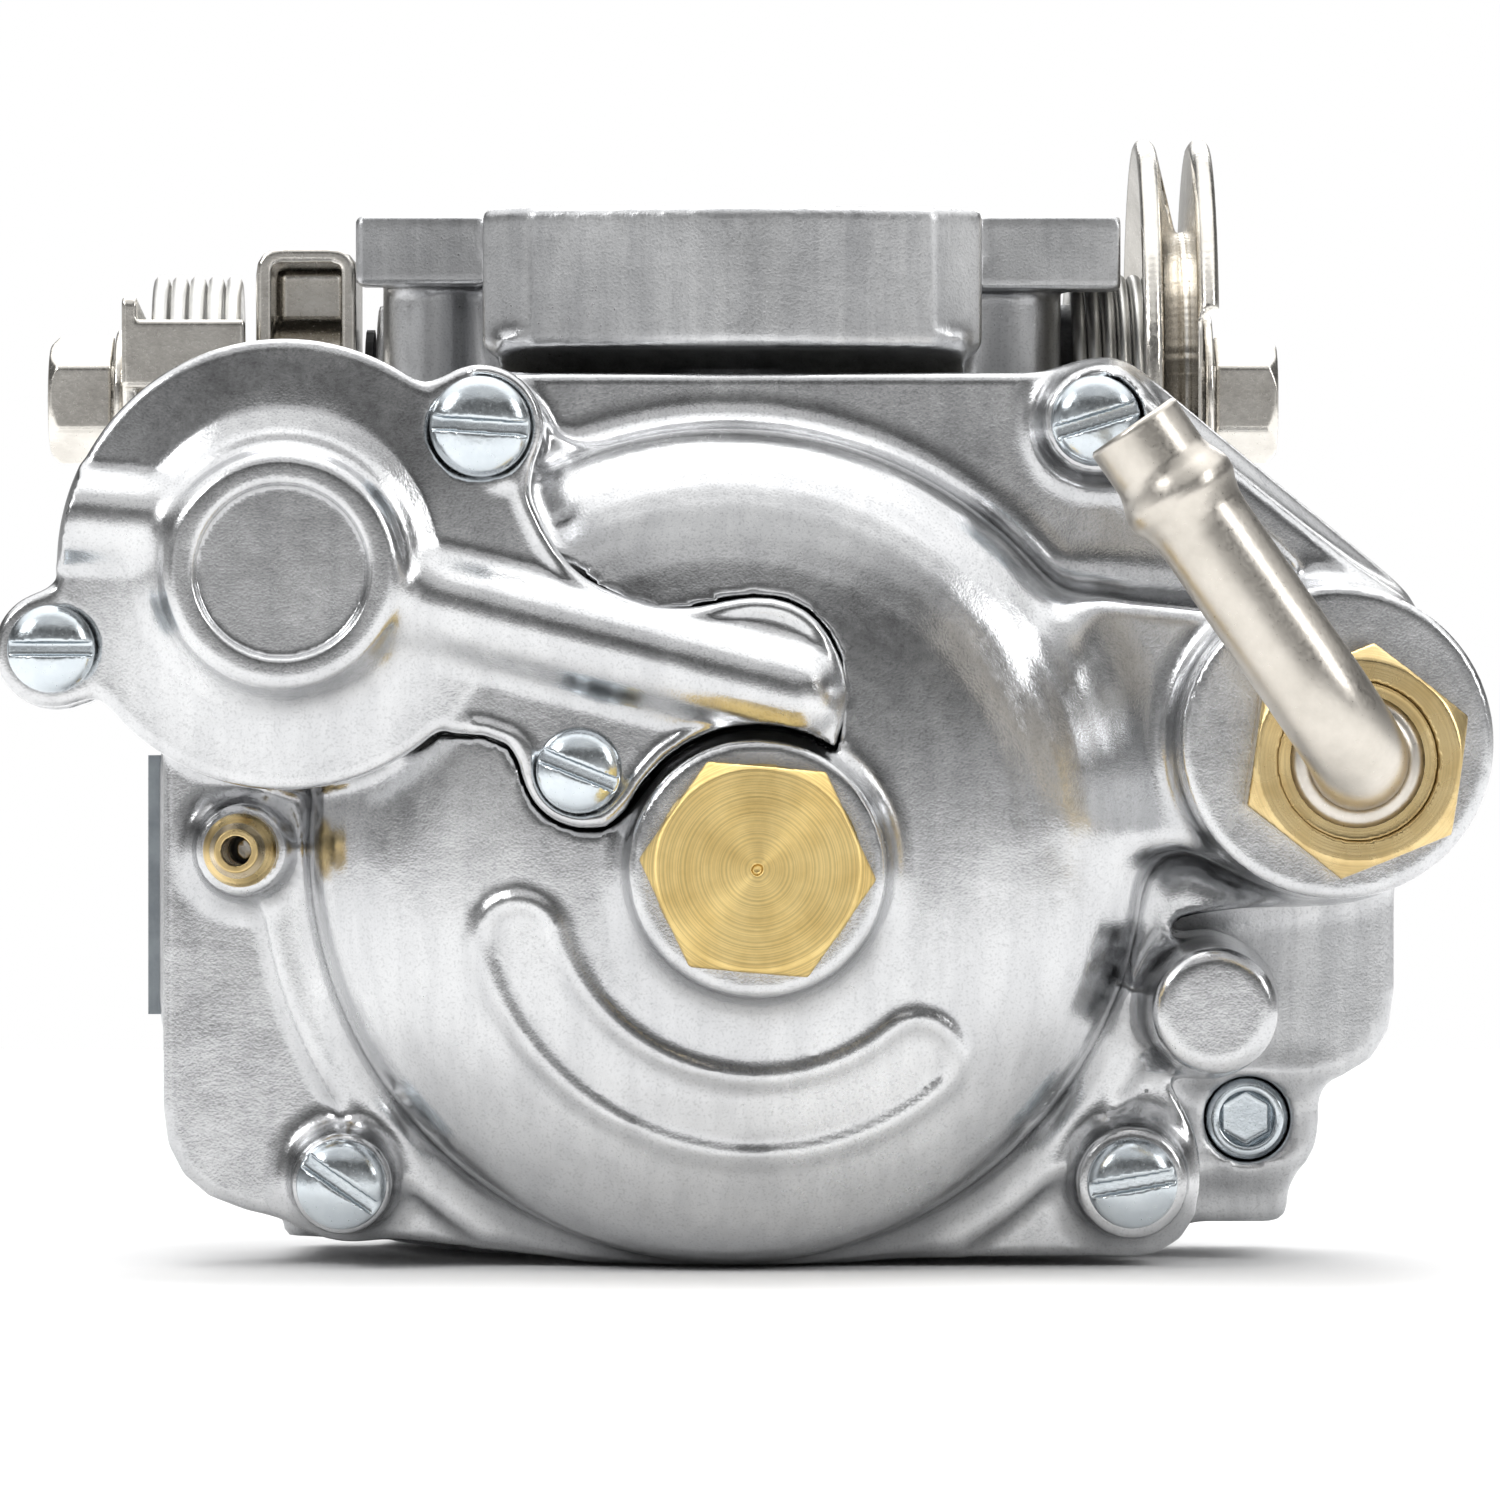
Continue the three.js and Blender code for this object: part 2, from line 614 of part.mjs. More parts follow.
function overflowNipple() {
  const profile = [
    [0, -37],
    [2.5, -37],
    [2.5, -42.3],
    [3.45, -42.3],
    [3.45, -44.6],
    [2.3, -45.6],
    [2.3, -47.4],
    [2.6, -48.2],
    [2.1, -50.6],
    [0, -50.6],
  ];
  const bore = bar("y", NIPPLE, NIPPLE_BORE_R, -30, -55, NIPPLE_BORE_R, 10);
  const bored = cut(turned("y", NIPPLE, profile, 16), bore);
  add("overflow_nipple", brass(), bored);
}

// ---------------------------------------------------------------- accelerator pump

const PUMP_DISC_Y = -50;
const LEVER_REACH = 17.5; // shaft axis down to the pump rod

function pumpCap() {
  const raised = turned("y", PUMP, [
    [0, CAP_BACK],
    [18.6, CAP_BACK],
    [18.6, CAP_FACE],
    [14.4, CAP_FACE - 3],
    [11.6, CAP_FACE - 3.4],
    [11.2, CAP_BOSS_FACE],
    [9, CAP_BOSS_FACE],
    [8.3, CAP_BOSS_FACE + 0.7],
    [0, CAP_BOSS_FACE + 0.7],
  ], 24);
  const start = new THREE.Vector3(-29.4, CAP_FACE + 0.6, 63.2);
  const end = new THREE.Vector3(NOZZLE[0], CAP_FACE + 0.6, NOZZLE[1]);
  const ridgeR = 4.4;
  const run = end.clone().sub(start);
  const alongRun = new THREE.Quaternion().setFromUnitVectors(Y, run.clone().normalize());
  const middle = start.clone().add(end).multiplyScalar(0.5);
  const barrel = new THREE.CylinderGeometry(ridgeR, ridgeR, run.length(), 20);
  barrel.applyQuaternion(alongRun).translate(...middle.toArray());
  const tip = new THREE.SphereGeometry(ridgeR, 16, 8).translate(...end.toArray());
  const ridge = join(solid(barrel), solid(tip));
  const behind = block([-80, CAP_BACK, 20], [40, 0, 100]);
  const whole = join(cut(ridge, behind), pumpFootprint(0, CAP_BACK, CAP_FACE), raised);
  const towardsPump = 6; // the passage opens into the chamber, and stops short of the tip
  const passage = new THREE.CylinderGeometry(1.8, 1.8, run.length() + 2 * towardsPump, 12);
  passage.applyQuaternion(alongRun);
  passage.translate(...middle.sub(run.clone().setLength(towardsPump)).toArray());
  add("pump_cap", aluminium(), cut(
    whole,
    bar("y", PUMP, 12, -30, CAP_BACK - 6, 12, 32),
    solid(passage).intersect(block([-40, -90, 20], [40, 0, 100])),
    bar("y", NOZZLE, PASSAGE_R, -30, CAP_FACE, PASSAGE_R, 12),
    bar("y", PLUG, PLUG_BOSS_R, CAP_BACK, IN_FRONT, PLUG_BOSS_R, 28),
    ...CAP_SCREWS.map((screw) => bar("y", screw.place, screw.headR + 0.5, CAP_FACE, IN_FRONT)),
    ...screwHoles(),
  ));
}

function pumpGear() {
  const rim = CAP_BACK + GAP;
  const discR = 9;
  const rod = bar("y", PUMP, ROD_R, -GAP - 3, PUMP_DISC_Y - 0.5, ROD_R, 20);
  const disc = bar("y", PUMP, discR, PUMP_DISC_Y, PUMP_DISC_Y - 1.2);
  add("pump_rod", nickel(), join(rod, disc));

  const inner = discR + GAP;
  const cone = turned("y", PUMP, [
    [0, PUMP_DISC_Y - 0.4],
    [inner + 0.6, PUMP_DISC_Y - 0.4],
    [12.6, rim + DIAPHRAGM_THICK],
    [13.6, rim + DIAPHRAGM_THICK],
    [13.6, rim],
    [12.4, rim],
    [inner + 0.4, PUMP_DISC_Y - 0.8],
    [0, PUMP_DISC_Y - 0.8],
  ]);
  const sheet = cut(pumpFootprint(-0.2, rim + DIAPHRAGM_THICK, rim), bar("y", PUMP, 13, 0, -70));
  const whole = cut(
    join(sheet, cone),
    bar("y", PUMP, inner, 0, -70),
    bar("y", NOZZLE, PASSAGE_R, 0, -70, PASSAGE_R, 12),
    ...screwHoles(),
  );
  add("pump_diaphragm", rubber(), whole);

  const springShape = coilSpring("y", PUMP, 6, 1, PUMP_DISC_Y - 2.1, CAP_BACK - 5.1, 3.5, 4, 12);
  add("pump_spring", spring(), springShape);

  const ball = new THREE.SphereGeometry(1.5, 8, 6).translate(0, 0, 48);
  add("pump_check_ball", nickel(), placed(ball, "y", NOZZLE));
  add("pump_nozzle", brass(), tube("y", NOZZLE, 1.6, 0.7, -34, -16.5, 12));
  sealRing("pump_passage_seal", NOZZLE, BODY_FACE - 0.7, 3.1, 0.5);
}

// ---------------------------------------------------------------- fuel inlet and float gear

const ELBOW_R = 4.55;
const ELBOW_BORE_R = 3.7;
const ELBOW_BEND = 10;
const ELBOW_TIP = [36.4, 78.5]; // x, z
const ELBOW_START = -56;
const ELBOW_TURN = -69;

function fuelInlet() {
  const back = INLET_BOSS_FACE - GAP;
  const face = back - HEX_HEIGHT;
  const turnedEdge = turned("y", INLET, [
    [0, back + 1],
    [11.6, back + 1],
    [11.6, face + 1.4],
    [9.6, face],
    [0, face],
  ], 24);
  const hex = hexBar("y", INLET, HEX_PLUG_AF, back, face, degrees(22)).intersect(turnedEdge);
  const nut = cut(
    join(hex, bar("y", INLET, 7.2, -54.5, back - 0.5)),
    bar("y", INLET, 7.4, face + 1.6, face - 1),
    bar("y", INLET, ELBOW_R + GAP, -50, face - 1),
  );
  add("fuel_inlet_nut", brass(), nut);

  const corner = new THREE.Vector3(INLET[0], ELBOW_TURN - ELBOW_BEND, INLET[1]);
  const tip = new THREE.Vector3(ELBOW_TIP[0], corner.y, ELBOW_TIP[1]);
  const along = tip.clone().sub(corner).normalize();
  const bendStart = new THREE.Vector3(INLET[0], ELBOW_TURN, INLET[1]);
  const bendEnd = corner.clone().addScaledVector(along, ELBOW_BEND);
  const sweep = (radius, overrun) => {
    const path = new THREE.CurvePath();
    const start = new THREE.Vector3(INLET[0], ELBOW_START + overrun, INLET[1]);
    path.add(new THREE.LineCurve3(start, bendStart));
    path.add(new THREE.QuadraticBezierCurve3(bendStart, corner, bendEnd));
    path.add(new THREE.LineCurve3(bendEnd, tip.clone().addScaledVector(along, overrun)));
    const shape = { steps: 18, extrudePath: path };
    return solid(new THREE.ExtrudeGeometry(polygon(radius, 14), shape));
  };
  const bead = new THREE.LatheGeometry(
    [[0, -3], [4.2, -3], [5.1, -1.6], [5.3, 0], [4.65, 2.4], [4.65, 7.4], [0, 7.4]].map(
      ([r, s]) => new THREE.Vector2(r, s),
    ),
    20,
  );
  bead.applyQuaternion(new THREE.Quaternion().setFromUnitVectors(Y, along));
  bead.translate(...tip.clone().addScaledVector(along, -7.2).toArray());
  const collar = bar("y", INLET, 6.2, face + 0.9, face + 1.3);
  const elbow = cut(join(sweep(ELBOW_R, 0), solid(bead), collar), sweep(ELBOW_BORE_R, 1));
  add("fuel_inlet_elbow", nickel(), elbow);

  const seat = join(bar("y", INLET, 3.9, -43, -52), bar("y", INLET, 6, -42, -43.7));
  const mouth = bar("y", INLET, 2.9, -41.9, -44.3, 1.2, 20);
  const orifice = bar("y", INLET, 1.2, -40, -60, 1.2, 20);
  add("inlet_seat", brass(), cut(seat, mouth, orifice));
  add("inlet_needle", rubber(), turned("y", INLET, [
    [0, -34.9],
    [2.2, -34.9],
    [2.2, -41.7],
    [0.8, -43.8],
    [0, -43.8],
  ], 20));
}

function floatGear() {
  const gapCentre = degrees(147); // the float clears the pump land on this side
  const halfGap = degrees(42);
  const outline = new THREE.Shape();
  const [first, last] = [gapCentre + halfGap, gapCentre - halfGap + 2 * Math.PI];
  outline.absarc(DOME[0], DOME[1], FLOAT_OUT_R, first, last, false);
  outline.absarc(DOME[0], DOME[1], FLOAT_IN_R, last, first, true);
  const [pinX, pinY] = FLOAT_PIN;
  const pontoon = prism("y", outline, -33, -43, 12);
  const arm = block([28, -34.6, 45.2], [pinX, -33, 52.8]);
  const tang = block([pinX, -34.6, 45.2], [pinX + 17.5, -33, 52.8]);
  const hub = bar("z", FLOAT_PIN, 2.4, 45.2, 52.8, 2.4, 24);
  const pinHole = bar("z", FLOAT_PIN, 1.4, 40, 60, 1.4, 24);
  add("float", plastic(), cut(join(pontoon, arm, tang, hub), pinHole));
  add("float_pin", nickel(), bar("z", [pinX, pinY], 1.2, 39.6, 59.4, 1.2, 24));
}

function jets() {
  const mainJet = join(
    bar("y", PLUG, 2.9, -44, -49.5, 2.9, 20),
    bar("y", PLUG, 4.4, -48.8, -52.4, 4.4, 20),
  );
  const slot = block([PLUG[0] - 6, -54, PLUG[1] - 0.6], [PLUG[0] + 6, -51.2, PLUG[1] + 0.6]);
  add("main_jet", brass(), cut(mainJet, slot, bar("y", PLUG, 0.9, -40, -60, 0.9, 12)));

  add("main_discharge_tube", brass(), tube("y", PLUG, 2.9, 1.9, -43.5, -4, 20));

  const idleJet = join(
    bar("y", JET, 2.4, -24.6, -31, 2.4, 16),
    bar("y", JET, 3.4, -29.5, -32.6, 3.4, 16),
  );
  add("intermediate_jet", brass(), cut(idleJet, bar("y", JET, 0.7, -20, -40, 0.7, 10)));
}

// ---------------------------------------------------------------- throttle shaft and linkage

const PLATE_R = 23.6;
const PLATE_THICK = 1.5;
const PLATE_SCREWS = [-9, 9];
const LOOSE_R = SHAFT_R + GAP;
const LEFT_CHEEK = [-59.9, -58.4]; // stop lever
const PUMP_LEVER = [-47, -37.1]; // outer faces of the pump lever
const SHEET = 1.5; // thickness of the bent levers

/** Everything here is drawn about the shaft's own axis. */
function throttleShaft(parent) {
  const axis = [0, 0];
  const shaft = cut(
    bar("x", axis, SHAFT_R, -67.3, 53.4, SHAFT_R, 32),
    block([-23.9, -6, -PLATE_THICK / 2 - GAP], [23.9, 6, PLATE_THICK / 2 + GAP]),
    ...PLATE_SCREWS.flatMap((x) => [
      bar("z", [x, 0], 1.6, -6, 6, 1.6, 12),
      bar("z", [x, 0], 2.9, 2.4, 6, 2.9, 16),
    ]),
  );
  add("throttle_shaft", nickel(), shaft, parent);

  const plate = cut(
    bar("z", axis, PLATE_R, -PLATE_THICK / 2, PLATE_THICK / 2, PLATE_R, 40),
    ...PLATE_SCREWS.map((x) => bar("z", [x, 0], 1.6, -2, 2, 1.6, 12)),
  );
  add("throttle_plate", brass(), plate, parent);

  PLATE_SCREWS.forEach((x, i) => {
    const screw = add(`plate_screw_${i + 1}`, brass(), panScrew(2.5, 1.5, 1.3, 6.2, 0), parent);
    screw.position.set(x, 0, 2.7);
  });
}

function cableSpool(parent) {
  const axis = [0, 0];
  const dishes = turned("x", axis, [
    [0, 42.9],
    [15.8, 42.9],
    [25.5, 40],
    [25.9, 41],
    [16.6, 43.9],
    [16.6, 45.2],
    [25.9, 46.8],
    [25.5, 47.8],
    [15.8, 46.3],
    [0, 46.3],
  ], 36);
  const spool = cut(
    dishes,
    bar("x", axis, LOOSE_R, 30, 60, LOOSE_R, 32),
    block([45.4, -30, -30], [52, -9, 8]), // the outer dish stops short at the front
    bar("x", [-10, 19], 2.4, 30, 44, 2.4, 16), // anchor hole for the cable end
  );
  add("cable_spool", nickel(), spool, parent);
  add("spool_washer", nickel(), tube("x", axis, 8.5, LOOSE_R, 46.6, 47.5), parent);
  const nut = (from, to, angle) =>
    cut(hexBar("x", axis, HEX_SHAFT_AF, from, to, angle), bar("x", axis, LOOSE_R, from - 1, to + 1));
  add("shaft_nut_right", nickel(), nut(47.8, 54, degrees(30)), parent);
  add("shaft_nut_left", nickel(), nut(-67.8, -61.5, degrees(30)), parent);
  add("lever_washer", nickel(), tube("x", axis, 7, LOOSE_R, -61.2, -60.2), parent);
}

/** Lever fixed to the shaft: a cheek, a web in front of the spring, and a tab for the stop screw. */
function stopLever(parent) {
  const [left, right] = LEFT_CHEEK;
  const cheek = rounded([[-8, -18.5, 2], [5, -18.5, 2], [7, 0, 2], [4, 8, 3], [-14, 9.7, 1], [-14, 3]]);
  add("stop_lever", nickel(), cut(
    join(
      prism("x", cheek, left, right),
      bar("x", [0, 0], 8, left, right),
      block([left, -14, 0.7], [-47.8, -14 + SHEET, 7.4]),
      block([left, -1.2, -18.5], [-49.5, 1.2, -13]),
    ),
    bar("x", [0, 0], LOOSE_R, left - 1, right + 1),
  ), parent);
}

/** Bent lever that rides loosely on the shaft and presses the pump rod with its cross bar. */
function pumpLever(parent) {
  const [left, right] = PUMP_LEVER;
  const top = 14.7;
  const arch = (inset, foot, corner) => rounded([
    [left + inset, foot],
    [right - inset, foot],
    [right - inset, top - inset, corner],
    [left + inset, top - inset, corner],
  ]);
  const bracket = cut(
    prism("y", arch(0, 0.4, 2.7), 6, -9),
    prism("y", arch(SHEET, -1, 1.2), 6 - SHEET, -10), // open to the front and below
  );
  add("pump_lever", nickel(), cut(
    join(
      bracket,
      bar("x", [0, 0], 8, left, left + SHEET),
      bar("x", [0, 0], 8, right - SHEET, right),
      block([left, -4, -LEVER_REACH], [left + SHEET, 4, 1.2]),
      bar("x", [0, -LEVER_REACH], 3, left, -39),
    ),
    bar("x", [0, 0], LOOSE_R, left - 1, right + 1),
  ), parent);
}

function shaftSprings(parent) {
  const axis = [0, 0];
  add("throttle_return_spring", spring(), coilSpring("x", axis, 11.8, 1.4, 33.5, 41.6, 5.5), parent);
  add("pump_lever_spring", spring(), coilSpring("x", axis, 11.6, 1.4, -57.2, -48.2, 5), parent);
  add("shaft_seal_left", rubber(), tube("x", axis, 7, LOOSE_R, -36.4, -35.6), parent);
  add("shaft_seal_right", rubber(), tube("x", axis, 7, LOOSE_R, 42.1, 42.6), parent);
}

// ---------------------------------------------------------------- adjusters and side fittings

function idleSpeedScrew() {
  const shank = bar("y", IDLE, 2.3, 1.5, 29.5, 2.3, 20);
  const head = bar("y", IDLE, 3.8, 29, 33, 3.8, 24);
  const [x, z] = IDLE;
  const slot = block([x - 6, 31.4, z - 0.6], [x + 6, 34, z + 0.6]);
  add("idle_speed_screw", zinc(), cut(join(shank, head), slot));
  add("idle_speed_spring", spring(), coilSpring("y", IDLE, 3.2, 0.8, 20.8, 28.2, 5, 4, 10));
}

function idleMixtureScrew() {
  const tip = bar("y", MIXTURE, 0.5, 23.9, 26, 2.1, 16);
  const shank = bar("y", MIXTURE, 2.1, 26, 40.5, 2.1, 16);
  const head = bar("y", MIXTURE, 3.6, 40, 43.6, 3.6, 24);
  const [x, z] = MIXTURE;
  const slot = block([x - 6, 42.2, z - 0.6], [x + 6, 45, z + 0.6]);
  add("idle_mixture_screw", brass(), cut(join(tip, shank, head), slot));
  add("idle_mixture_spring", spring(), coilSpring("y", MIXTURE, 3, 0.7, 34.8, 39.2, 4, 4, 10));
}

function enrichment() {
  const plunger = join(
    bar("y", ENRICH, 4, 17, 28.5, 4, 24),
    bar("y", ENRICH, 2.4, 28, 44.5, 2.4, 20),
    bar("y", ENRICH, 5.2, 44, 48.5, 4.4, 28),
  );
  add("enrichment_plunger", brass(), plunger);
  add("enrichment_spring", spring(), coilSpring("y", ENRICH, 3.2, 0.7, 29.3, 35.5, 5, 4, 10));
  const nut = cut(hexBar("y", ENRICH, 14, 36.3, 41), bar("y", ENRICH, 2.8, 35, 42, 2.8, 24));
  add("enrichment_nut", zinc(), nut);
}

function sideFittings() {
  const { x, y, z } = SIDE_PLATE;
  const thick = 1.2;
  const face = x - thick;
  const holes = SIDE_SCREWS.map((place) => {
    const [wide, narrow] = [SIDE_HEAD_R + GAP, SIDE_SHANK_R + GAP];
    const sink = bar("x", place, wide, face - 0.1, x, narrow);
    return join(sink, bar("x", place, narrow, x - 0.1, x + 1));
  });
  add("side_cover_plate", zinc(), cut(block([face, y[0], z[0]], [x, y[1], z[1]]), ...holes));
  SIDE_SCREWS.forEach(([screwY, screwZ], i) => {
    const shape = flushScrew(SIDE_HEAD_R, thick, SIDE_SHANK_R, 6, degrees(30));
    const screw = add(`side_cover_screw_${i + 1}`, zinc(), shape);
    screw.position.set(face, screwY, screwZ);
    screw.rotation.y = -Math.PI / 2;
  });

  const head = bar("y", SOCKET_SCREW, 4, -22.4, -27.2, 4, 32);
  const shank = bar("y", SOCKET_SCREW, 2.4, -12.8, -23, 2.4, 16);
  const socket = hexBar("y", SOCKET_SCREW, 4.5, -24.4, -30, degrees(30));
  add("passage_screw", zinc(), cut(join(head, shank), socket));
}

// ---------------------------------------------------------------- put together

add("throttle_body", aluminium(), throttleBody());
add("bowl_gasket", paper(), bowlGasket());
add("float_bowl", aluminium(), floatBowl());
frontScrews();
drainPlug();
sealRing("plug_seal", PLUG, PLUG_SEAT + 0.65, 7.65, 0.6);
overflowNipple();
pumpCap();
pumpGear();
fuelInlet();
floatGear();
jets();

const shaftLine = new THREE.Group();
shaftLine.position.z = SHAFT_Z;
carburetor.add(shaftLine);
throttleShaft(shaftLine);
cableSpool(shaftLine);
stopLever(shaftLine);
pumpLever(shaftLine);
shaftSprings(shaftLine);

idleSpeedScrew();
idleMixtureScrew();
enrichment();
sideFittings();

// The part's origin is the middle of its footprint, on the surface that it stands on.
const box = new THREE.Box3().setFromObject(carburetor);
const middle = box.getCenter(new THREE.Vector3());
carburetor.position.set(-middle.x, -middle.y, -box.min.z);

const part = new THREE.Group();
part.add(carburetor);
export default part;
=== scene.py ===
"""Looks of a side-draught butterfly carburetor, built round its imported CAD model.

Shapes are drawn in millimetres about the bore: x runs right along the throttle shaft, y away from
the viewer and z up the bore. The castings and the turned pieces are distance fields, so that they
can be blended with soft fillets, and a field's zero surface becomes a closed mesh of quads.
"""

import json
import math
from functools import reduce

import bpy
import numpy as np
from mathutils import Matrix, Vector

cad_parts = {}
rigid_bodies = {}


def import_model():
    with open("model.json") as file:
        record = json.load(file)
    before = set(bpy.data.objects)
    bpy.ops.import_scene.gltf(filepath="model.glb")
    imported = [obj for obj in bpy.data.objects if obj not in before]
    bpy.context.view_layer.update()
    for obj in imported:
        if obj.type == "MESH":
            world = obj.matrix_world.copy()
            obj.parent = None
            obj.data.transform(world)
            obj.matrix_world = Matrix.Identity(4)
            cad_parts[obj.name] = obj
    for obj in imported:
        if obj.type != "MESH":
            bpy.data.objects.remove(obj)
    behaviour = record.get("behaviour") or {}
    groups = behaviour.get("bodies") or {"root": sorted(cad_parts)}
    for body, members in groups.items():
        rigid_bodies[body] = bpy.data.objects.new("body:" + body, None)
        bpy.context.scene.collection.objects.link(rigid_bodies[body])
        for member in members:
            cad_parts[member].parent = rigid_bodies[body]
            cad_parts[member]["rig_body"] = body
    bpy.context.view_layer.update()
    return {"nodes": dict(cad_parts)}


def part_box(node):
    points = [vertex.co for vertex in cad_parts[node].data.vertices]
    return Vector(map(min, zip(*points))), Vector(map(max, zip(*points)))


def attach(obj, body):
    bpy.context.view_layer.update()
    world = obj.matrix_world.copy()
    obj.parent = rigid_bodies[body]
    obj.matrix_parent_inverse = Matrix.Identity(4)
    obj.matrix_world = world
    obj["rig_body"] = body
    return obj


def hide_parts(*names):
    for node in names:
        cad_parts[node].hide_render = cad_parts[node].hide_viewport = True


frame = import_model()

# ---------------------------------------- places, in millimetres about the bore

BORE = sum(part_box("throttle_plate"), Vector()) / 2
TO_ROW = Matrix.Translation((BORE.x, BORE.y, 0)) @ Matrix.Scale(0.001, 4)

GAP = 0.3
BODY_HEIGHT = 101
BORE_R = 23.8
VENTURI_R = 19.85
BELL_R = 31
BARREL_R = 29
SHAFT_Z = 83.8
SHAFT_R = 3.97

BODY_FACE = -29.1
BOWL_BACK = -30.5
RIM_FACE = -38
DOME_SIDE = -40
DOME_CROWN = -57.2
PLUG_SEAT = -60.5
PUMP_LAND = -53.2
CAP_BACK = -54.2
CAP_FACE = -58.2
CAP_BOSS_FACE = -63.4
INLET_BOSS_FACE = -61.5

DOME = (-0.5, 39.9)
DOME_R = 39.7
WALL = 2
PLUG = (2.4, 38)
PUMP = (-41.7, 66.3)
PUMP_R = 20.9
CAP_BOSS = (-41.7, 65.6)
NIPPLE = (-46.6, 39.5)
BUTTON = (45.4, 24.5)
INLET_BOSS = (56.2, 49.7)
INLET = (57.6, 48)
NOZZLE = (5.9, 54.1)
MIXTURE = (-8, 92)
IDLE = (-53, 68)
ENRICH = (18, 58)
SOCKET_SCREW = (49.7, 13.4)
BOLTS = ((-29.5, -12.5), (27.4, -12.5))

BOLT_BORE_R = 3.2
SCREW_BORE_R = 2.4
ROD_BORE_R = 2.3
NOZZLE_R = 4.2
NOZZLE_BORE_R = 1.9
NIPPLE_BORE_R = 1.4
SHELF_R = 4.6
SCREW_SHANK_R = 2.1
SCREW_HEAD_HEIGHT = 2.9
SCREW_SLOT = 1.3
BRASS_HEXAGON = 19.05
BRASS_HEAD_HEIGHT = 7.7
SHAFT_NUT = 11.11
SHEET = 1.5
ELBOW_R = 4.55
ELBOW_BORE_R = 3.7
CLEAR = -75  # a plane in front of every casting, where cuts from the front begin

# name, place on the front, plane under the head, head radius, slot angle, end of the shank
FRONT_SCREWS = (
    ("bowl_screw_lower_left", (-37, 7.9), -43, 4.3, -35, -22),
    ("bowl_screw_lower_right", (37.9, 8), -43, 4.3, 10, -22),
    ("bowl_screw_upper_right", (34.5, 80.2), -42, 4.3, 17, -22),
    ("pump_cap_screw_top", (-23.4, 79.1), CAP_FACE, 4.7, -4, -22),
    ("pump_cap_screw_left", (-63.3, 58.4), CAP_FACE, 4.1, 0, -44),
    ("pump_cap_screw_inner", (-14.2, 47.1), CAP_FACE, 4, -22, -46.5),
)
CAP_EARS = (((-23.4, 79.1), 5.8), ((-63.3, 58.4), 5.4), ((-14.2, 47.1), 5))
TOP_EAR, LEFT_EAR, INNER_EAR = (place for place, _ in CAP_EARS)
BOWL_BOSS_RADII = (4.7, 5.2, 4.9)

COARSE = 1
TABLE_STEP = 0.1  # spacing of the radii at which a turned shape is measured
CURVE_STEPS = 8  # straight pieces in each drawn curve


# ---------------------------------------- fields


def rounded(points, steps=4):
    """A closed outline with each corner rounded over the length in its third value."""
    outline = []
    for i, point in enumerate(points):
        corner = np.array(point[:2], float)
        length = point[2] if len(point) > 2 else 0
        if not length:
            outline.append(corner)
            continue
        before, after = (
            np.array(points[j % len(points)][:2], float) for j in (i - 1, i + 1)
        )
        start = corner + (before - corner) / np.linalg.norm(before - corner) * length
        end = corner + (after - corner) / np.linalg.norm(after - corner) * length
        for t in np.linspace(0, 1, steps + 1):
            outline.append(
                (1 - t) ** 2 * start + 2 * t * (1 - t) * corner + t**2 * end
            )
    return outline


def bezier(a, b, c, d):
    """Points on a cubic curve, leaving out its start."""
    a, b, c, d = (np.array(p, float) for p in (a, b, c, d))
    return [
        (1 - t) ** 3 * a
        + 3 * t * (1 - t) ** 2 * b
        + 3 * t**2 * (1 - t) * c
        + t**3 * d
        for t in np.linspace(0, 1, CURVE_STEPS + 1)[1:]
    ]


def polygon_distance(u, v, points):
    """Signed distance from points (u, v) to a closed outline, negative inside."""
    shape = np.broadcast(u, v).shape
    nearest = np.full(shape, np.inf, np.float32)
    inside = np.zeros(shape, bool)
    for (au, av), (bu, bv) in zip(points, points[1:] + points[:1]):
        eu, ev = bu - au, bv - av
        length = eu * eu + ev * ev
        if length == 0:
            continue
        t = np.clip(((u - au) * eu + (v - av) * ev) / length, 0, 1)
        nearest = np.minimum(nearest, np.hypot(u - au - t * eu, v - av - t * ev))
        if ev != 0:
            inside ^= ((av > v) != (bv > v)) & (u < eu * (v - av) / ev + au)
    return np.where(inside, -nearest, nearest)


def blend(size, *fields):
    """Union of fields with a fillet of about that size where they meet."""

    def pair(a, b):
        mix = np.maximum(size - np.abs(a - b), 0) / size
        return np.minimum(a, b) - mix * mix * size / 4

    return reduce(pair, fields)


def union(*fields):
    return reduce(np.minimum, fields)


def cut(field, *tools):
    """The field with sharp-edged cuts."""
    return reduce(lambda left, tool: np.maximum(left, -tool), tools, field)


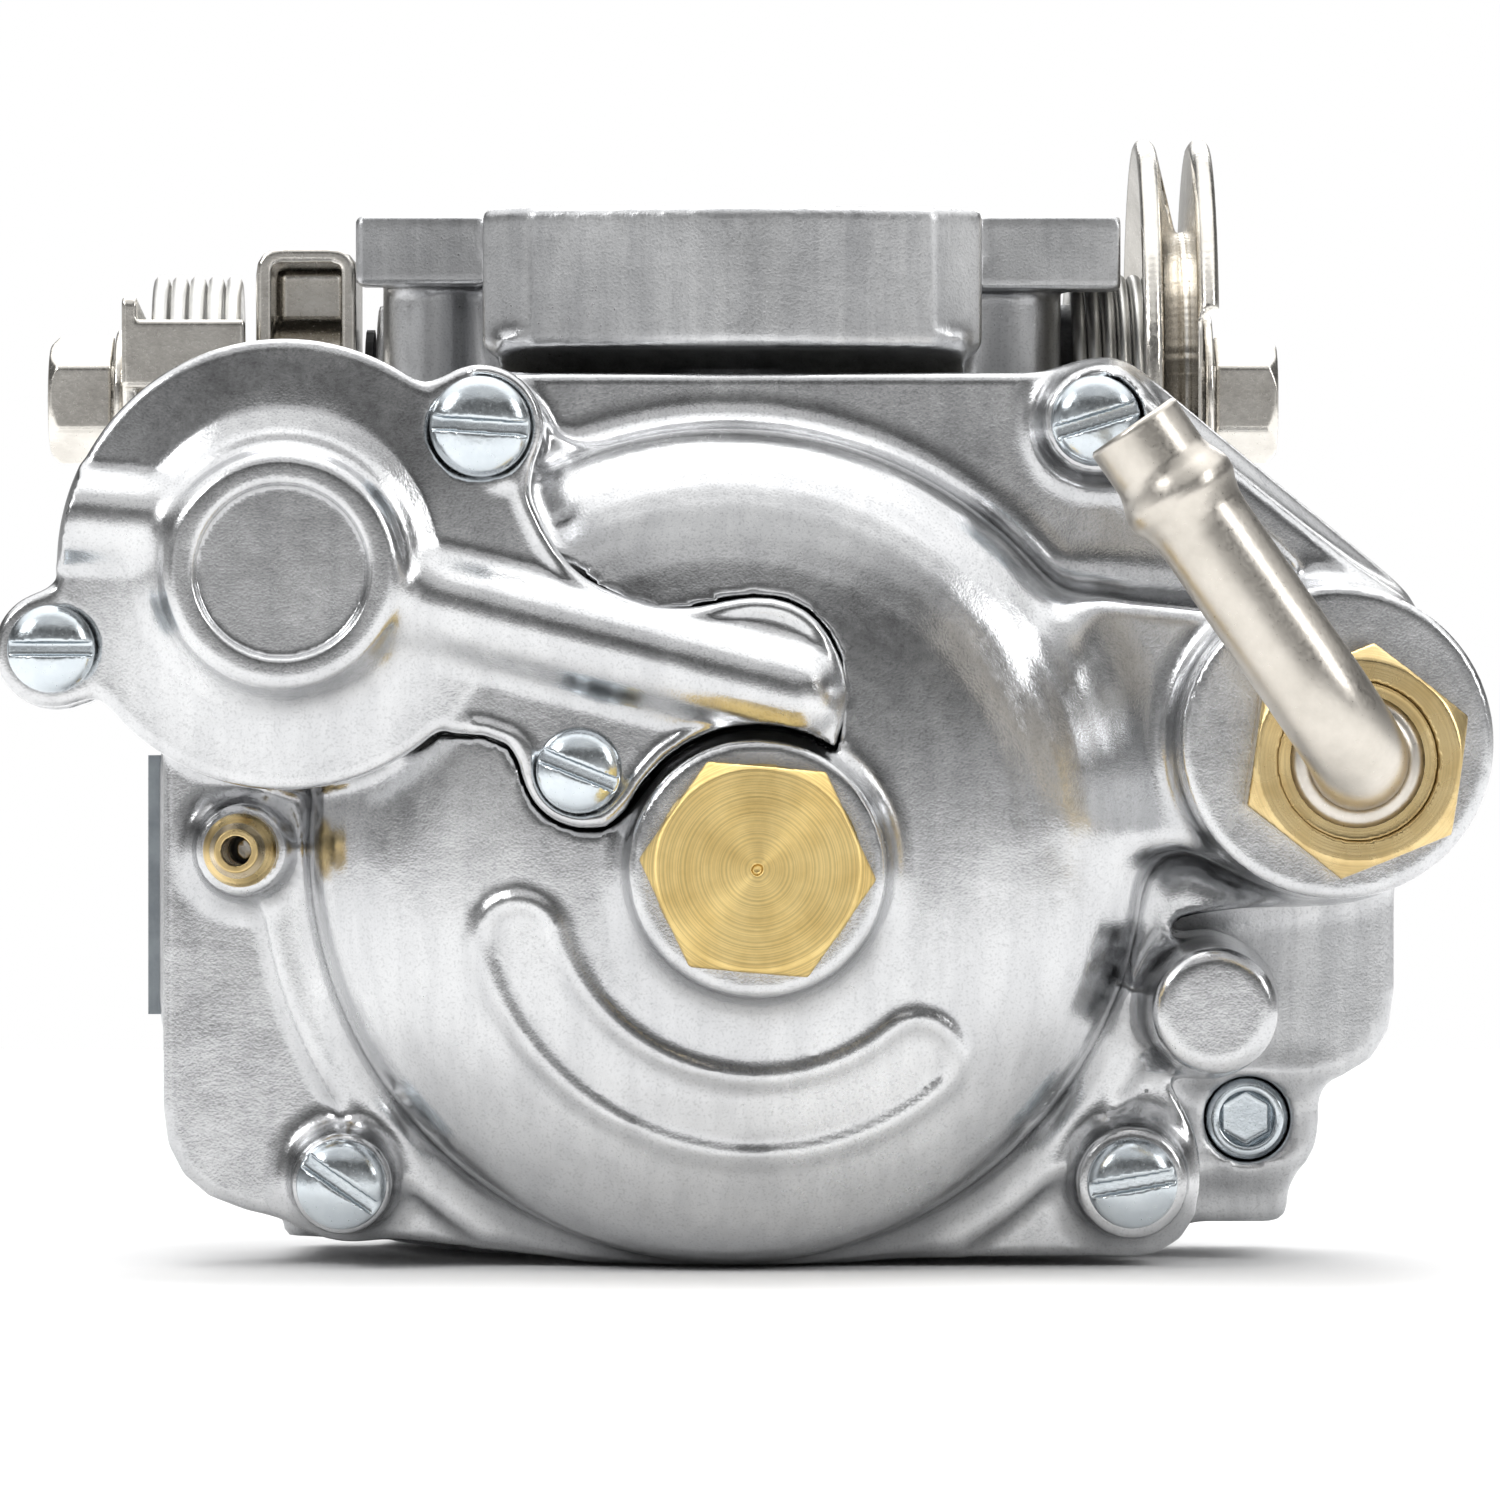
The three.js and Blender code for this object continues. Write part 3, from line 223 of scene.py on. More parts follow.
class Space:
    """A box of space in which fields are sampled on a grid."""

    def __init__(self, low, high, step):
        step *= COARSE
        self.axes = [
            np.arange(a - 2 * step, b + 2 * step, step, dtype=np.float32)
            for a, b in zip(low, high)
        ]
        x, y, z = np.meshgrid(*self.axes, indexing="ij", sparse=True)
        self.along = {"x": x, "y": y, "z": z}
        self.across = {"x": (y, z), "y": (x, z), "z": (x, y)}

    def disc(self, axis, centre, radius):
        u, v = self.across[axis]
        return np.hypot(u - centre[0], v - centre[1]) - radius

    def outline(self, axis, points):
        u, v = self.across[axis]
        return polygon_distance(u, v, [tuple(p[:2]) for p in points])

    def hexagon(self, axis, centre, across_flats, angle=0):
        u, v = self.across[axis]
        turns = [math.radians(angle + 30 + 60 * i) for i in range(3)]
        sides = [
            np.abs((u - centre[0]) * math.cos(a) + (v - centre[1]) * math.sin(a))
            for a in turns
        ]
        return reduce(np.maximum, sides) - across_flats / 2

    def slab(self, axis, flat, start, end, edge=0.3):
        """A flat field extruded between two planes, each edge rounded to a radius."""
        middle, half = (start + end) / 2, abs(end - start) / 2
        side = flat + edge
        depth = np.abs(self.along[axis] - middle) - half + edge
        outside = np.hypot(np.maximum(side, 0), np.maximum(depth, 0))
        return outside + np.minimum(np.maximum(side, depth), 0) - edge

    def bar(self, axis, centre, radius, start, end, edge=0.3, end_radius=None):
        """A round bar, or a taper that reaches end_radius at its end."""
        flat = self.disc(axis, centre, radius)
        if end_radius is not None:
            share = np.clip((self.along[axis] - start) / (end - start), 0, 1)
            flat = flat - (end_radius - radius) * share
        return self.slab(axis, flat, start, end, edge=edge)

    def prism(self, axis, points, start, end, edge):
        return self.slab(axis, self.outline(axis, rounded(points)), start, end, edge=edge)

    def box(self, low, high, edge=0.3):
        reach = [
            np.abs(self.along[k] - (a + b) / 2) - (b - a) / 2 + edge
            for k, a, b in zip("xyz", low, high)
        ]
        outside = np.sqrt(sum(np.maximum(r, 0) ** 2 for r in reach))
        return outside + np.minimum(reduce(np.maximum, reach), 0) - edge

    def capsule(self, a, b, radius):
        """A round bar with ball ends between two points in space."""
        a, b = np.array(a, float), np.array(b, float)
        run = b - a
        place = [self.along[k] - a[i] for i, k in enumerate("xyz")]
        t = np.clip(sum(p * r for p, r in zip(place, run)) / (run @ run), 0, 1)
        return np.sqrt(sum((p - t * r) ** 2 for p, r in zip(place, run))) - radius

    def turned(self, axis, centre, profile):
        """A solid of revolution from (radius, position on the axis) points."""
        u, v = self.across[axis]
        radius = np.hypot(u - centre[0], v - centre[1]).squeeze()
        closed = [(-p[0], p[1]) for p in profile[::-1]] + list(profile)
        steps = np.arange(0, radius.max() + 3 * TABLE_STEP, TABLE_STEP)
        along = self.along[axis].ravel()
        table = polygon_distance(steps[:, None], along[None, :], closed)
        low = (radius / TABLE_STEP).astype(int)
        share = (radius / TABLE_STEP - low)[..., None]
        field = table[low] * (1 - share) + table[low + 1] * share
        return np.moveaxis(field, -1, "xyz".index(axis)).astype(np.float32)


def space_round(centre, radius, start, end, step):
    """Space for a round piece that lies along y."""
    u, v = centre
    return Space((u - radius, start, v - radius), (u + radius, end, v + radius), step=step)


CORNERS = [(i, j, k) for i in (0, 1) for j in (0, 1) for k in (0, 1)]
EDGES = [
    (a, b)
    for a in range(8)
    for b in range(a + 1, 8)
    if sum(p != q for p, q in zip(CORNERS[a], CORNERS[b])) == 1
]


def surface_net(field, axes):
    """The field's zero surface as quads, with one vertex in each cell that it crosses."""
    inside = field < 0
    shape = [n - 1 for n in field.shape]
    count = sum(
        inside[i : i + shape[0], j : j + shape[1], k : k + shape[2]].astype(np.int8)
        for i, j, k in CORNERS
    )
    cells = np.argwhere((count > 0) & (count < 8))
    value = [field[tuple((cells + corner).T)] for corner in CORNERS]
    place = [
        np.stack([axes[d][cells[:, d] + corner[d]] for d in range(3)], 1)
        for corner in CORNERS
    ]
    total = np.zeros((len(cells), 3))
    crossings = np.zeros(len(cells))
    for a, b in EDGES:
        crossed = (value[a] < 0) != (value[b] < 0)
        t = value[a][crossed] / (value[a][crossed] - value[b][crossed])
        start = place[a][crossed]
        total[crossed] += start + t[:, None] * (place[b][crossed] - start)
        crossings += crossed
    vertices = total / crossings[:, None]

    number = np.full(shape, -1, np.int64)
    number[tuple(cells.T)] = np.arange(len(cells))
    quads = []
    for axis in range(3):
        u, v = np.eye(3, dtype=int)[[(axis + 1) % 3, (axis + 2) % 3]]
        lower = np.moveaxis(inside, axis, 0)[:-1]
        upper = np.moveaxis(inside, axis, 0)[1:]
        crossed = np.moveaxis(lower != upper, 0, axis)
        points = np.argwhere(crossed)
        quad = np.stack(
            [number[tuple((points - step).T)] for step in (u + v, v, 0 * u, u)], 1
        )
        facing_up = inside[tuple(points.T)]
        quad[~facing_up] = quad[~facing_up][:, ::-1]
        quads.append(quad)
    return vertices, np.concatenate(quads)


# ---------------------------------------- pieces


def piece(name, vertices, faces, material, node, origin=(0, 0, 0)):
    """A smooth-shaded mesh, given in millimetres, that stands for a CAD node."""
    mesh = bpy.data.meshes.new(name)
    mesh.from_pydata(np.asarray(vertices) - np.array(origin), [], faces)
    mesh.transform(Matrix.Scale(0.001, 4))
    mesh.update()
    mesh.shade_smooth()
    mesh.materials.append(material)
    obj = bpy.data.objects.new(name, mesh)
    obj.location = TO_ROW @ Vector(origin)
    bpy.context.scene.collection.objects.link(obj)
    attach(obj, frame["nodes"][node]["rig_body"])
    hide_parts(node)


def from_field(space, field, material, node, origin=(0, 0, 0)):
    vertices, faces = surface_net(field, space.axes)
    return piece(f"{node}_looks", vertices, faces, material, node, origin)


def sweep(points, radii, sides):
    """Rings of a tube along a path: vertices, quads and the two end caps."""
    points = np.asarray(points, float)
    tangents = np.gradient(points, axis=0)
    tangents /= np.linalg.norm(tangents, axis=1)[:, None]
    normal = np.cross(tangents[0], (0.3, 0.5, 0.8))
    turn = np.linspace(0, 2 * np.pi, sides, endpoint=False)
    rings = []
    for point, tangent, radius in zip(points, tangents, radii):
        normal = normal - tangent * (normal @ tangent)
        normal /= np.linalg.norm(normal)
        side = np.cross(tangent, normal)
        rings.append(
            point + radius * (np.outer(np.cos(turn), normal) + np.outer(np.sin(turn), side))
        )
    vertices = np.concatenate(rings)
    faces = []
    for ring in range(len(points) - 1):
        for k in range(sides):
            a, b = ring * sides + k, ring * sides + (k + 1) % sides
            faces.append((a, b, b + sides, a + sides))
    faces.append(tuple(range(sides))[::-1])
    faces.append(tuple(range(len(vertices) - sides, len(vertices))))
    return vertices, faces


# ---------------------------------------- materials


def colour_ramp(nodes, links, source, stops):
    """A ramp node that maps 0..1 to colours, or to greys for plain numbers."""
    node = nodes.new("ShaderNodeValToRGB")
    elements = node.color_ramp.elements
    while len(elements) < len(stops):
        elements.new(0.5)
    for element, (position, value) in zip(elements, stops):
        colour = value if isinstance(value, tuple) else (value, value, value)
        element.position = position
        element.color = (*colour, 1)
    links.new(source, node.inputs["Fac"])
    return node.outputs["Color"]


class Material:
    """A node material on a Principled shader, with coordinates in millimetres."""

    def __init__(self, name, **values):
        self.material = bpy.data.materials.new(name)
        self.material.use_nodes = True
        self.nodes = self.material.node_tree.nodes
        self.links = self.material.node_tree.links
        self.shader = self.nodes["Principled BSDF"]
        for socket, value in values.items():
            self.shader.inputs[socket.replace("_", " ")].default_value = value
        coordinates = self.nodes.new("ShaderNodeTexCoord")
        self.place = self.nodes.new("ShaderNodeMapping")
        self.place.inputs["Scale"].default_value = (1000, 1000, 1000)
        self.links.new(coordinates.outputs["Object"], self.place.inputs["Vector"])

    def noise(self, scale, detail, roughness=0.55, stretch=None):
        node = self.nodes.new("ShaderNodeTexNoise")
        node.inputs["Scale"].default_value = scale
        node.inputs["Detail"].default_value = detail
        node.inputs["Roughness"].default_value = roughness
        source = self.place
        if stretch:
            source = self.nodes.new("ShaderNodeMapping")
            source.inputs["Scale"].default_value = stretch
            self.links.new(self.place.outputs[0], source.inputs["Vector"])
        self.links.new(source.outputs[0], node.inputs["Vector"])
        return node.outputs["Fac"]

    def rings(self, scale, axis):
        """Uneven rings about an axis through the origin: noise read along the radius."""
        flat = self.nodes.new("ShaderNodeVectorMath")
        flat.operation = "MULTIPLY"
        flat.inputs[1].default_value = [0 if letter == axis else 1 for letter in "XYZ"]
        self.links.new(self.place.outputs[0], flat.inputs[0])
        radius = self.nodes.new("ShaderNodeVectorMath")
        radius.operation = "LENGTH"
        self.links.new(flat.outputs["Vector"], radius.inputs[0])
        node = self.nodes.new("ShaderNodeTexNoise")
        node.noise_dimensions = "1D"
        node.inputs["Scale"].default_value = scale
        node.inputs["Detail"].default_value = 3
        self.links.new(radius.outputs["Value"], node.inputs["W"])
        return node.outputs["Fac"]

    def pointiness(self):
        return self.nodes.new("ShaderNodeNewGeometry").outputs["Pointiness"]

    def ramp(self, source, stops):
        return colour_ramp(self.nodes, self.links, source, stops)

    def mix(self, kind, factor, a, b):
        node = self.nodes.new("ShaderNodeMix")
        node.data_type = "RGBA"
        node.blend_type = kind
        node.inputs["Factor"].default_value = factor
        self.links.new(a, node.inputs["A"])
        self.links.new(b, node.inputs["B"])
        return node.outputs["Result"]

    def drive(self, socket, source):
        self.links.new(source, self.shader.inputs[socket])

    def bump(self, *layers):
        """Layers of (height, strength, depth in millimetres), the first one lowest."""
        normal = None
        for height, strength, depth in layers:
            node = self.nodes.new("ShaderNodeBump")
            node.inputs["Strength"].default_value = strength
            node.inputs["Distance"].default_value = depth / 1000
            self.links.new(height, node.inputs["Height"])
            if normal:
                self.links.new(normal, node.inputs["Normal"])
            normal = node.outputs["Normal"]
        self.links.new(normal, self.shader.inputs["Normal"])
        return self.material


def cast_aluminium(name, pits, roughness):
    """Tumbled die casting: bright, faintly pitted, greyer and rougher in stains, with painted
    shade darkening its hollows.
    """
    m = Material(name, Metallic=1.0)
    stain = m.noise(0.05, 5, 0.6)
    grain = m.noise(1.1, 4, 0.6)
    speck = m.noise(4.2, 2, 0.5)
    wave = m.noise(0.16, 2, 0.4)
    low, high = roughness
    colour = m.ramp(stain, [(0.3, (0.56, 0.565, 0.575)), (0.7, (0.70, 0.705, 0.71))])
    # Painted shade: the colour is darkened wherever the surface is hollow, read from its
    # pointiness.
    hollows_painted_shade = m.ramp(m.pointiness(), [(0.44, (0.5, 0.5, 0.51)), (0.5, (1.0, 1.0, 1.0))])
    pores = m.ramp(speck, [(0.34, (0.45, 0.45, 0.46)), (0.46, (1.0, 1.0, 1.0))])
    colour = m.mix("MULTIPLY", 0.3, colour, pores)
    streak = m.noise(0.45, 3, 0.6, stretch=(1, 1, 0.1))
    streaks = m.ramp(streak, [(0.35, (0.6, 0.605, 0.62)), (0.6, (1.0, 1.0, 1.0))])
    colour = m.mix("MULTIPLY", 0.25 * pits, colour, streaks)
    m.drive("Base Color", m.mix("MULTIPLY", 0.8, colour, hollows_painted_shade))
    m.drive(
        "Roughness",
        m.mix(
            "MIX",
            0.5,
            m.ramp(stain, [(0.35, low), (0.7, high)]),
            m.ramp(grain, [(0.3, low), (0.75, high)]),
        ),
    )
    return m.bump((wave, 0.3, 0.4), (grain, 0.12, 0.1 * pits), (speck, 0.25, 0.05 * pits))


def turned_metal(name, colour, dark, ring_axis, roughness, marks=1.0):
    """Metal off a lathe: circular tool marks about the piece's own axis, and a fan of light."""
    m = Material(name, Metallic=1.0, Anisotropic=0.85)
    tangent = m.nodes.new("ShaderNodeTangent")
    tangent.direction_type = "RADIAL"
    tangent.axis = ring_axis
    m.drive("Tangent", tangent.outputs[0])
    rings = m.rings(1.3, ring_axis)
    fine = m.rings(5, ring_axis)
    grime = m.noise(0.25, 4)
    colour = m.ramp(grime, [(0.3, dark), (0.62, colour)])
    lines = m.ramp(fine, [(0.35, 0.72), (0.6, 1.0)])
    m.drive("Base Color", m.mix("MULTIPLY", 0.4 * marks, colour, lines))
    m.drive("Roughness", m.ramp(grime, [(0.3, roughness + 0.1), (0.7, roughness)]))
    return m.bump((rings, 0.12 * marks, 0.04), (fine, 0.15 * marks, 0.02))


def plated(name, colour, dark, roughness, speckle=1.0):
    """Plated steel: a thin clouded skin with fine pits."""
    m = Material(name, Metallic=1.0)
    cloud = m.noise(0.22, 4, 0.6)
    fine = m.noise(2.6, 3, 0.6)
    m.drive("Base Color", m.ramp(cloud, [(0.32, dark), (0.62, colour)]))
    m.drive("Roughness", m.ramp(fine, [(0.3, roughness), (0.8, roughness + 0.16)]))
    return m.bump((cloud, 0.2, 0.15), (fine, 0.25 * speckle, 0.04))


def soft_stuff(name, colour, dark, roughness, scale):
    """Fibre, rubber or moulded plastic."""
    m = Material(name)
    grain = m.noise(scale, 5, 0.65)
    m.drive("Base Color", m.ramp(grain, [(0.3, dark), (0.7, colour)]))
    m.drive("Roughness", m.ramp(grain, [(0.3, roughness), (0.7, roughness + 0.15)]))
    return m.bump((grain, 0.4, 0.08))


BRASS = (0.77, 0.60, 0.31)
BRASS_DARK = (0.60, 0.44, 0.20)
aluminium = cast_aluminium("cast_aluminium", pits=1.0, roughness=(0.16, 0.32))
rough_aluminium = cast_aluminium("cast_aluminium_body", pits=1.8, roughness=(0.26, 0.46))
brass_front = turned_metal("brass_turned_y", BRASS, BRASS_DARK, "Y", roughness=0.22)
# The plug's brass: a more golden tint, and painted lighter than the other brass to stand for the
# light on its face.
brass_plug_painted_light = turned_metal(
    "brass_plug_painted_light", (0.90, 0.69, 0.30), (0.74, 0.54, 0.21), "Y", roughness=0.4, marks=2.0
)
zinc = plated("zinc_plate", (0.66, 0.71, 0.74), (0.56, 0.61, 0.65), roughness=0.16)
nickel = plated("nickel_plate", (0.80, 0.77, 0.715), (0.64, 0.61, 0.56), roughness=0.16)
satin_nickel = plated("satin_nickel", (0.66, 0.62, 0.56), (0.56, 0.525, 0.47), roughness=0.27)
# Painted shade: the side cover plate is zinc plate like the screws, given this much darker copy of
# the zinc so that it reads as lying in shade.
side_plate_zinc_painted_shade = plated("side_plate_zinc_painted_shade", (0.30, 0.33, 0.35), (0.2, 0.22, 0.24), roughness=0.35)
spring_steel = plated(
    "spring_steel", (0.72, 0.715, 0.69), (0.60, 0.595, 0.58), roughness=0.36, speckle=0.5
)
gasket_paper = soft_stuff(
    "gasket_paper", (0.13, 0.125, 0.11), (0.07, 0.068, 0.06), roughness=0.75, scale=2.0
)
seal_rubber = soft_stuff(
    "seal_rubber", (0.025, 0.025, 0.026), (0.012, 0.012, 0.012), roughness=0.5, scale=1.2
)
float_plastic = soft_stuff(
    "float_plastic", (0.03, 0.032, 0.035), (0.018, 0.02, 0.022), roughness=0.35, scale=0.8
)


# ---------------------------------------- outlines shared by castings


def rim_points(inset=0):
    i = inset
    return [
        (-54.3 + i, 7 + i, 8), (-37, 2.9 + i, 2), (-13.6, 0.4 + i, 3), (44.4 - i, 0.8 + i, 7),
        (44.2 - i, 13.5, 3), (40.5 - i, 18.5, 2), (41 - i, 33, 3), (64 - i, 36, 5),
        (63.6 - i, 63.3 - i, 4), (38 - i, 85 - i, 4), (-28, 85 - i, 4), (-54.3 + i, 62, 4),
    ]


def arm_outline():
    """Outline of the pump cap's arm, round the passage that ends beside the plug."""
    points = [(-36, 76), (-19.4, 74.4)]
    points += bezier((-19.4, 74.4), (-17, 67), (-14, 64), (-8, 62))
    points += bezier((-8, 62), (-4, 61.4), (-2, 63), (2, 63.2))
    points += bezier((2, 63.2), (7, 63.4), (10.4, 60), (10.2, 54))
    points += [
        (
            PLUG[0] + 13.2 * math.cos(math.radians(a)),
            PLUG[1] + 13.2 * math.sin(math.radians(a)),
        )
        for a in range(57, 145, 12)
    ]
    points += [(-12, 42.6)]
    points += bezier((-12, 42.6), (-18, 43), (-17, 51), (-26, 50.6))
    return points + [(-36, 56)]


def cap_outline(space):
    """The pump cap's whole outline as a flat field, its ears run into the plate in soft curves."""
    flat = space.outline("y", arm_outline())
    flat = blend(1.5, flat, space.disc("y", PUMP, PUMP_R))
    for place, radius in CAP_EARS:
        flat = blend(3, flat, space.disc("y", place, radius))
    return flat


def half_round(flat, space, axis, position, radius):
    """A bead of round section along the line where a flat field is zero."""
    return np.hypot(flat, space.along[axis] - position) - radius


def dome_profile(offset=0):
    """Half section of the bowl's dome: a short drafted wall, then one long curve to the crown."""
    radius = DOME_R + offset
    rise = abs(DOME_CROWN - DOME_SIDE) + offset
    profile = [(0, BOWL_BACK + 1), (radius + 1, BOWL_BACK + 1), (radius, DOME_SIDE)]
    power = 2.7
    for angle in np.linspace(0, math.pi / 2, 16)[1:]:
        profile.append(
            (
                radius * math.cos(angle) ** (2 / power),
                DOME_SIDE - rise * math.sin(angle) ** (2 / power),
            )
        )
    return profile


def bowl_cavity(s):
    """The fuel space, with columns left standing for what passes through it."""
    return cut(
        s.turned("y", DOME, [(r, y + 1) for r, y in dome_profile(-WALL)]),
        s.bar("y", PUMP, 17.7, -60, PUMP_LAND + 8),
        s.slab("y", cap_outline(s) - 1.5, -60, PUMP_LAND + WALL),
        s.bar("y", INNER_EAR, SHELF_R, -60, -43.5),
        s.bar("y", NOZZLE, NOZZLE_R, -60, BOWL_BACK),
        s.bar("y", TOP_EAR, SHELF_R, -60, 0),
    )


def float_bowl():
    s = Space((-70, -62, 0), (71, -30, 87), step=0.5)
    y = s.along["y"]
    rim_flat = s.outline("y", rounded(rim_points()))
    rim = s.slab("y", rim_flat, BOWL_BACK, RIM_FACE, edge=0.7)
    ledge = np.maximum(s.bar("y", DOME, 44.4, BOWL_BACK, RIM_FACE - 1.3, edge=0.8), rim_flat + 0.8)
    up_right = (s.along["x"] - DOME[0] + s.along["z"] - DOME[1]) * math.sqrt(0.5)
    ledge = np.maximum(ledge, up_right - 16)  # the ledge runs round the lower left
    dome = s.turned("y", DOME, dome_profile())
    plate = blend(1.6, rim, ledge)
    plate = blend(3.5, plate, dome)

    corners = [(28, 42, 3), (52, 38, 3), (58, 61, 3), (33, 63.5, 3)]
    arm = s.prism("y", corners, BOWL_BACK, -49, edge=1.5)
    corners = [(36, 84.6, 1), (63.4, 62.8, 1), (60.5, 60.5, 1), (36, 79.5, 1)]
    wall = s.prism("y", corners, BOWL_BACK, -46, edge=0.9)
    land = s.slab("y", cap_outline(s) + 0.5, BOWL_BACK, PUMP_LAND, edge=0.5)
    under = np.maximum(land, np.minimum(rim_flat - 0.2, y + 47))
    casting = blend(6, plate, arm, wall)
    casting = blend(2, casting, under)
    bosses = [
        s.bar("y", INLET_BOSS, 15, BOWL_BACK, INLET_BOSS_FACE, edge=0.5, end_radius=14.5),
        s.bar("y", BUTTON, 7.2, BOWL_BACK, -52, edge=1.3, end_radius=5.85),
        s.bar("y", NIPPLE, 4.8, BOWL_BACK, -42, edge=0.4, end_radius=4.3),
        s.bar("y", PLUG, 14.2, -45, PLUG_SEAT, edge=0.35, end_radius=11.9),
        s.bar("y", LEFT_EAR, 4.9, -40, PUMP_LAND, edge=0.5),
    ]
    bosses += [
        s.bar("y", place, radius + 0.8, BOWL_BACK, seat, edge=0.5, end_radius=radius)
        for (_, place, seat, *_), radius in zip(FRONT_SCREWS, BOWL_BOSS_RADII)
    ]
    casting = blend(3, casting, *bosses)

    # An empty lozenge of raised line, bent round the plug, on the face of the dome.
    lozenge = lozenge_line(s)
    casting = blend(1.0, casting, np.hypot(lozenge, dome + 0.25) - 0.75)

    back = y - BOWL_BACK
    cuts = [
        bowl_cavity(s),
        s.slab("y", cap_outline(s) - GAP, PUMP_LAND, CLEAR),
        s.bar("y", PLUG, 6.9, -48, CLEAR),
        s.bar("y", PLUG, 8.6, PLUG_SEAT + 1.4, CLEAR),
        s.bar("y", PUMP, 14.5, PUMP_LAND + 5, CLEAR),
        s.bar("y", PUMP, ROD_BORE_R, -20, -60),
        s.bar("y", NOZZLE, NOZZLE_BORE_R, -20, -60),
        s.bar("y", NIPPLE, 2.8, -36, -50),
        s.bar("y", NIPPLE, NIPPLE_BORE_R, -33, -50),
        s.box((30, -42, 43), (52, -20, 55)),
        s.bar("y", INLET, 8, -20, -44),
        s.bar("y", INLET, 4.2, -20, CLEAR),
        s.bar("y", INLET, 7.6, -54, CLEAR),
    ]
    for _, place, seat, head, _, end in FRONT_SCREWS:
        cuts.append(s.bar("y", place, SCREW_BORE_R, end + 0.5, CLEAR))
        if seat > CAP_FACE:  # the bowl's own screws, whose bosses are cut flat under the head
            cuts.append(s.bar("y", place, head + 0.25, seat, CLEAR))
    bottom = 0.1 - s.along["z"]
    field = reduce(np.maximum, (cut(casting, *cuts), back, bottom))
    from_field(s, field, aluminium, "float_bowl")


def lozenge_line(s):
    """Flat distance to the lozenge's line: two arcs about the plug and two round ends."""
    middle, half = 23.4, 3.7
    start, end = math.radians(-163), math.radians(-50)
    u, v = (w - c for w, c in zip(s.across["y"], PLUG))
    angle = (np.arctan2(v, u) - (start + end) / 2 + math.pi) % (2 * math.pi) - math.pi
    reach = (end - start) / 2
    over = np.clip(angle, -reach, reach) + (start + end) / 2
    spine = np.hypot(u - middle * np.cos(over), v - middle * np.sin(over))
    return np.abs(spine - half)


def pump_cap():
    s = Space((-70, -64, 40), (12, -54, 88), step=0.33)
    y = s.along["y"]
    flat = cap_outline(s)
    plate = s.slab("y", flat, CAP_BACK, CAP_FACE, edge=0.9)
    raised = s.turned(
        "y",
        PUMP,
        [
            (0, CAP_BACK), (20.6, CAP_BACK), (20.6, CAP_FACE + 0.3), (14.6, CAP_FACE - 1.1),
            (12, CAP_FACE - 2.5), (0, CAP_FACE - 2.5),
        ],
    )
    boss = s.bar("y", CAP_BOSS, 12.2, CAP_BACK, CAP_BOSS_FACE, edge=1.3, end_radius=11)
    start = (-29.4, CAP_FACE + 0.6, 63.2)
    end = (NOZZLE[0], CAP_FACE + 0.6, NOZZLE[1])
    ridge = s.capsule(start, end, 4.4)
    left_ridge = s.capsule((-46, CAP_FACE + 0.9, 69.6), (-61.5, CAP_FACE + 1.6, 70.7), 4.6)
    bead = half_round(flat + 0.8, s, "y", CAP_FACE + 0.15, 0.55)
    bead = np.maximum(bead, -24 - s.along["x"])  # along the arm only
    casting = blend(1.0, plate, raised)
    casting = blend(1.4, casting, np.maximum(left_ridge, flat + 0.3))
    casting = blend(2.2, casting, ridge)
    casting = blend(2.2, casting, boss)
    casting = blend(0.7, casting, bead)
    casting = np.maximum(casting, y - CAP_BACK)
    floor = CAP_BOSS_FACE + 0.8
    well = s.bar("y", CAP_BOSS, 7.9, floor, -70, edge=0.1, end_radius=10.2)
    casting = -blend(0.6, -casting, well)
    cuts = [
        s.bar("y", PUMP, 12, -30, CAP_BACK - 4.6),
        s.bar("y", NOZZLE, NOZZLE_BORE_R, -30, CAP_FACE),
        s.bar("y", PLUG, 13.4, CAP_BACK + 1, CLEAR),
    ]
    for _, place, seat, head, _, _ in FRONT_SCREWS[3:]:
        cuts.append(s.bar("y", place, SCREW_BORE_R, -40, CLEAR))
        cuts.append(s.bar("y", place, head + 0.22, seat, CLEAR, edge=0.2))
    from_field(s, cut(casting, *cuts), aluminium, "pump_cap")


def bore_profile():
    """Half section of the bore: bell mouth, venturi, then straight to the manifold."""
    profile = [(0, -3), (BELL_R, -3), (BELL_R, 0)]
    for t in np.linspace(0, 1, 9)[1:]:
        ease = math.sin(t * math.pi / 2)
        profile.append((BELL_R + (VENTURI_R - BELL_R) * ease, 36 * t))
    for t in np.linspace(0, 1, 9):
        ease = (1 - math.cos(t * math.pi)) / 2
        profile.append((VENTURI_R + (BORE_R - VENTURI_R) * ease, 46 + 18 * t))
    return profile + [(BORE_R, BODY_HEIGHT + 3), (0, BODY_HEIGHT + 3)]


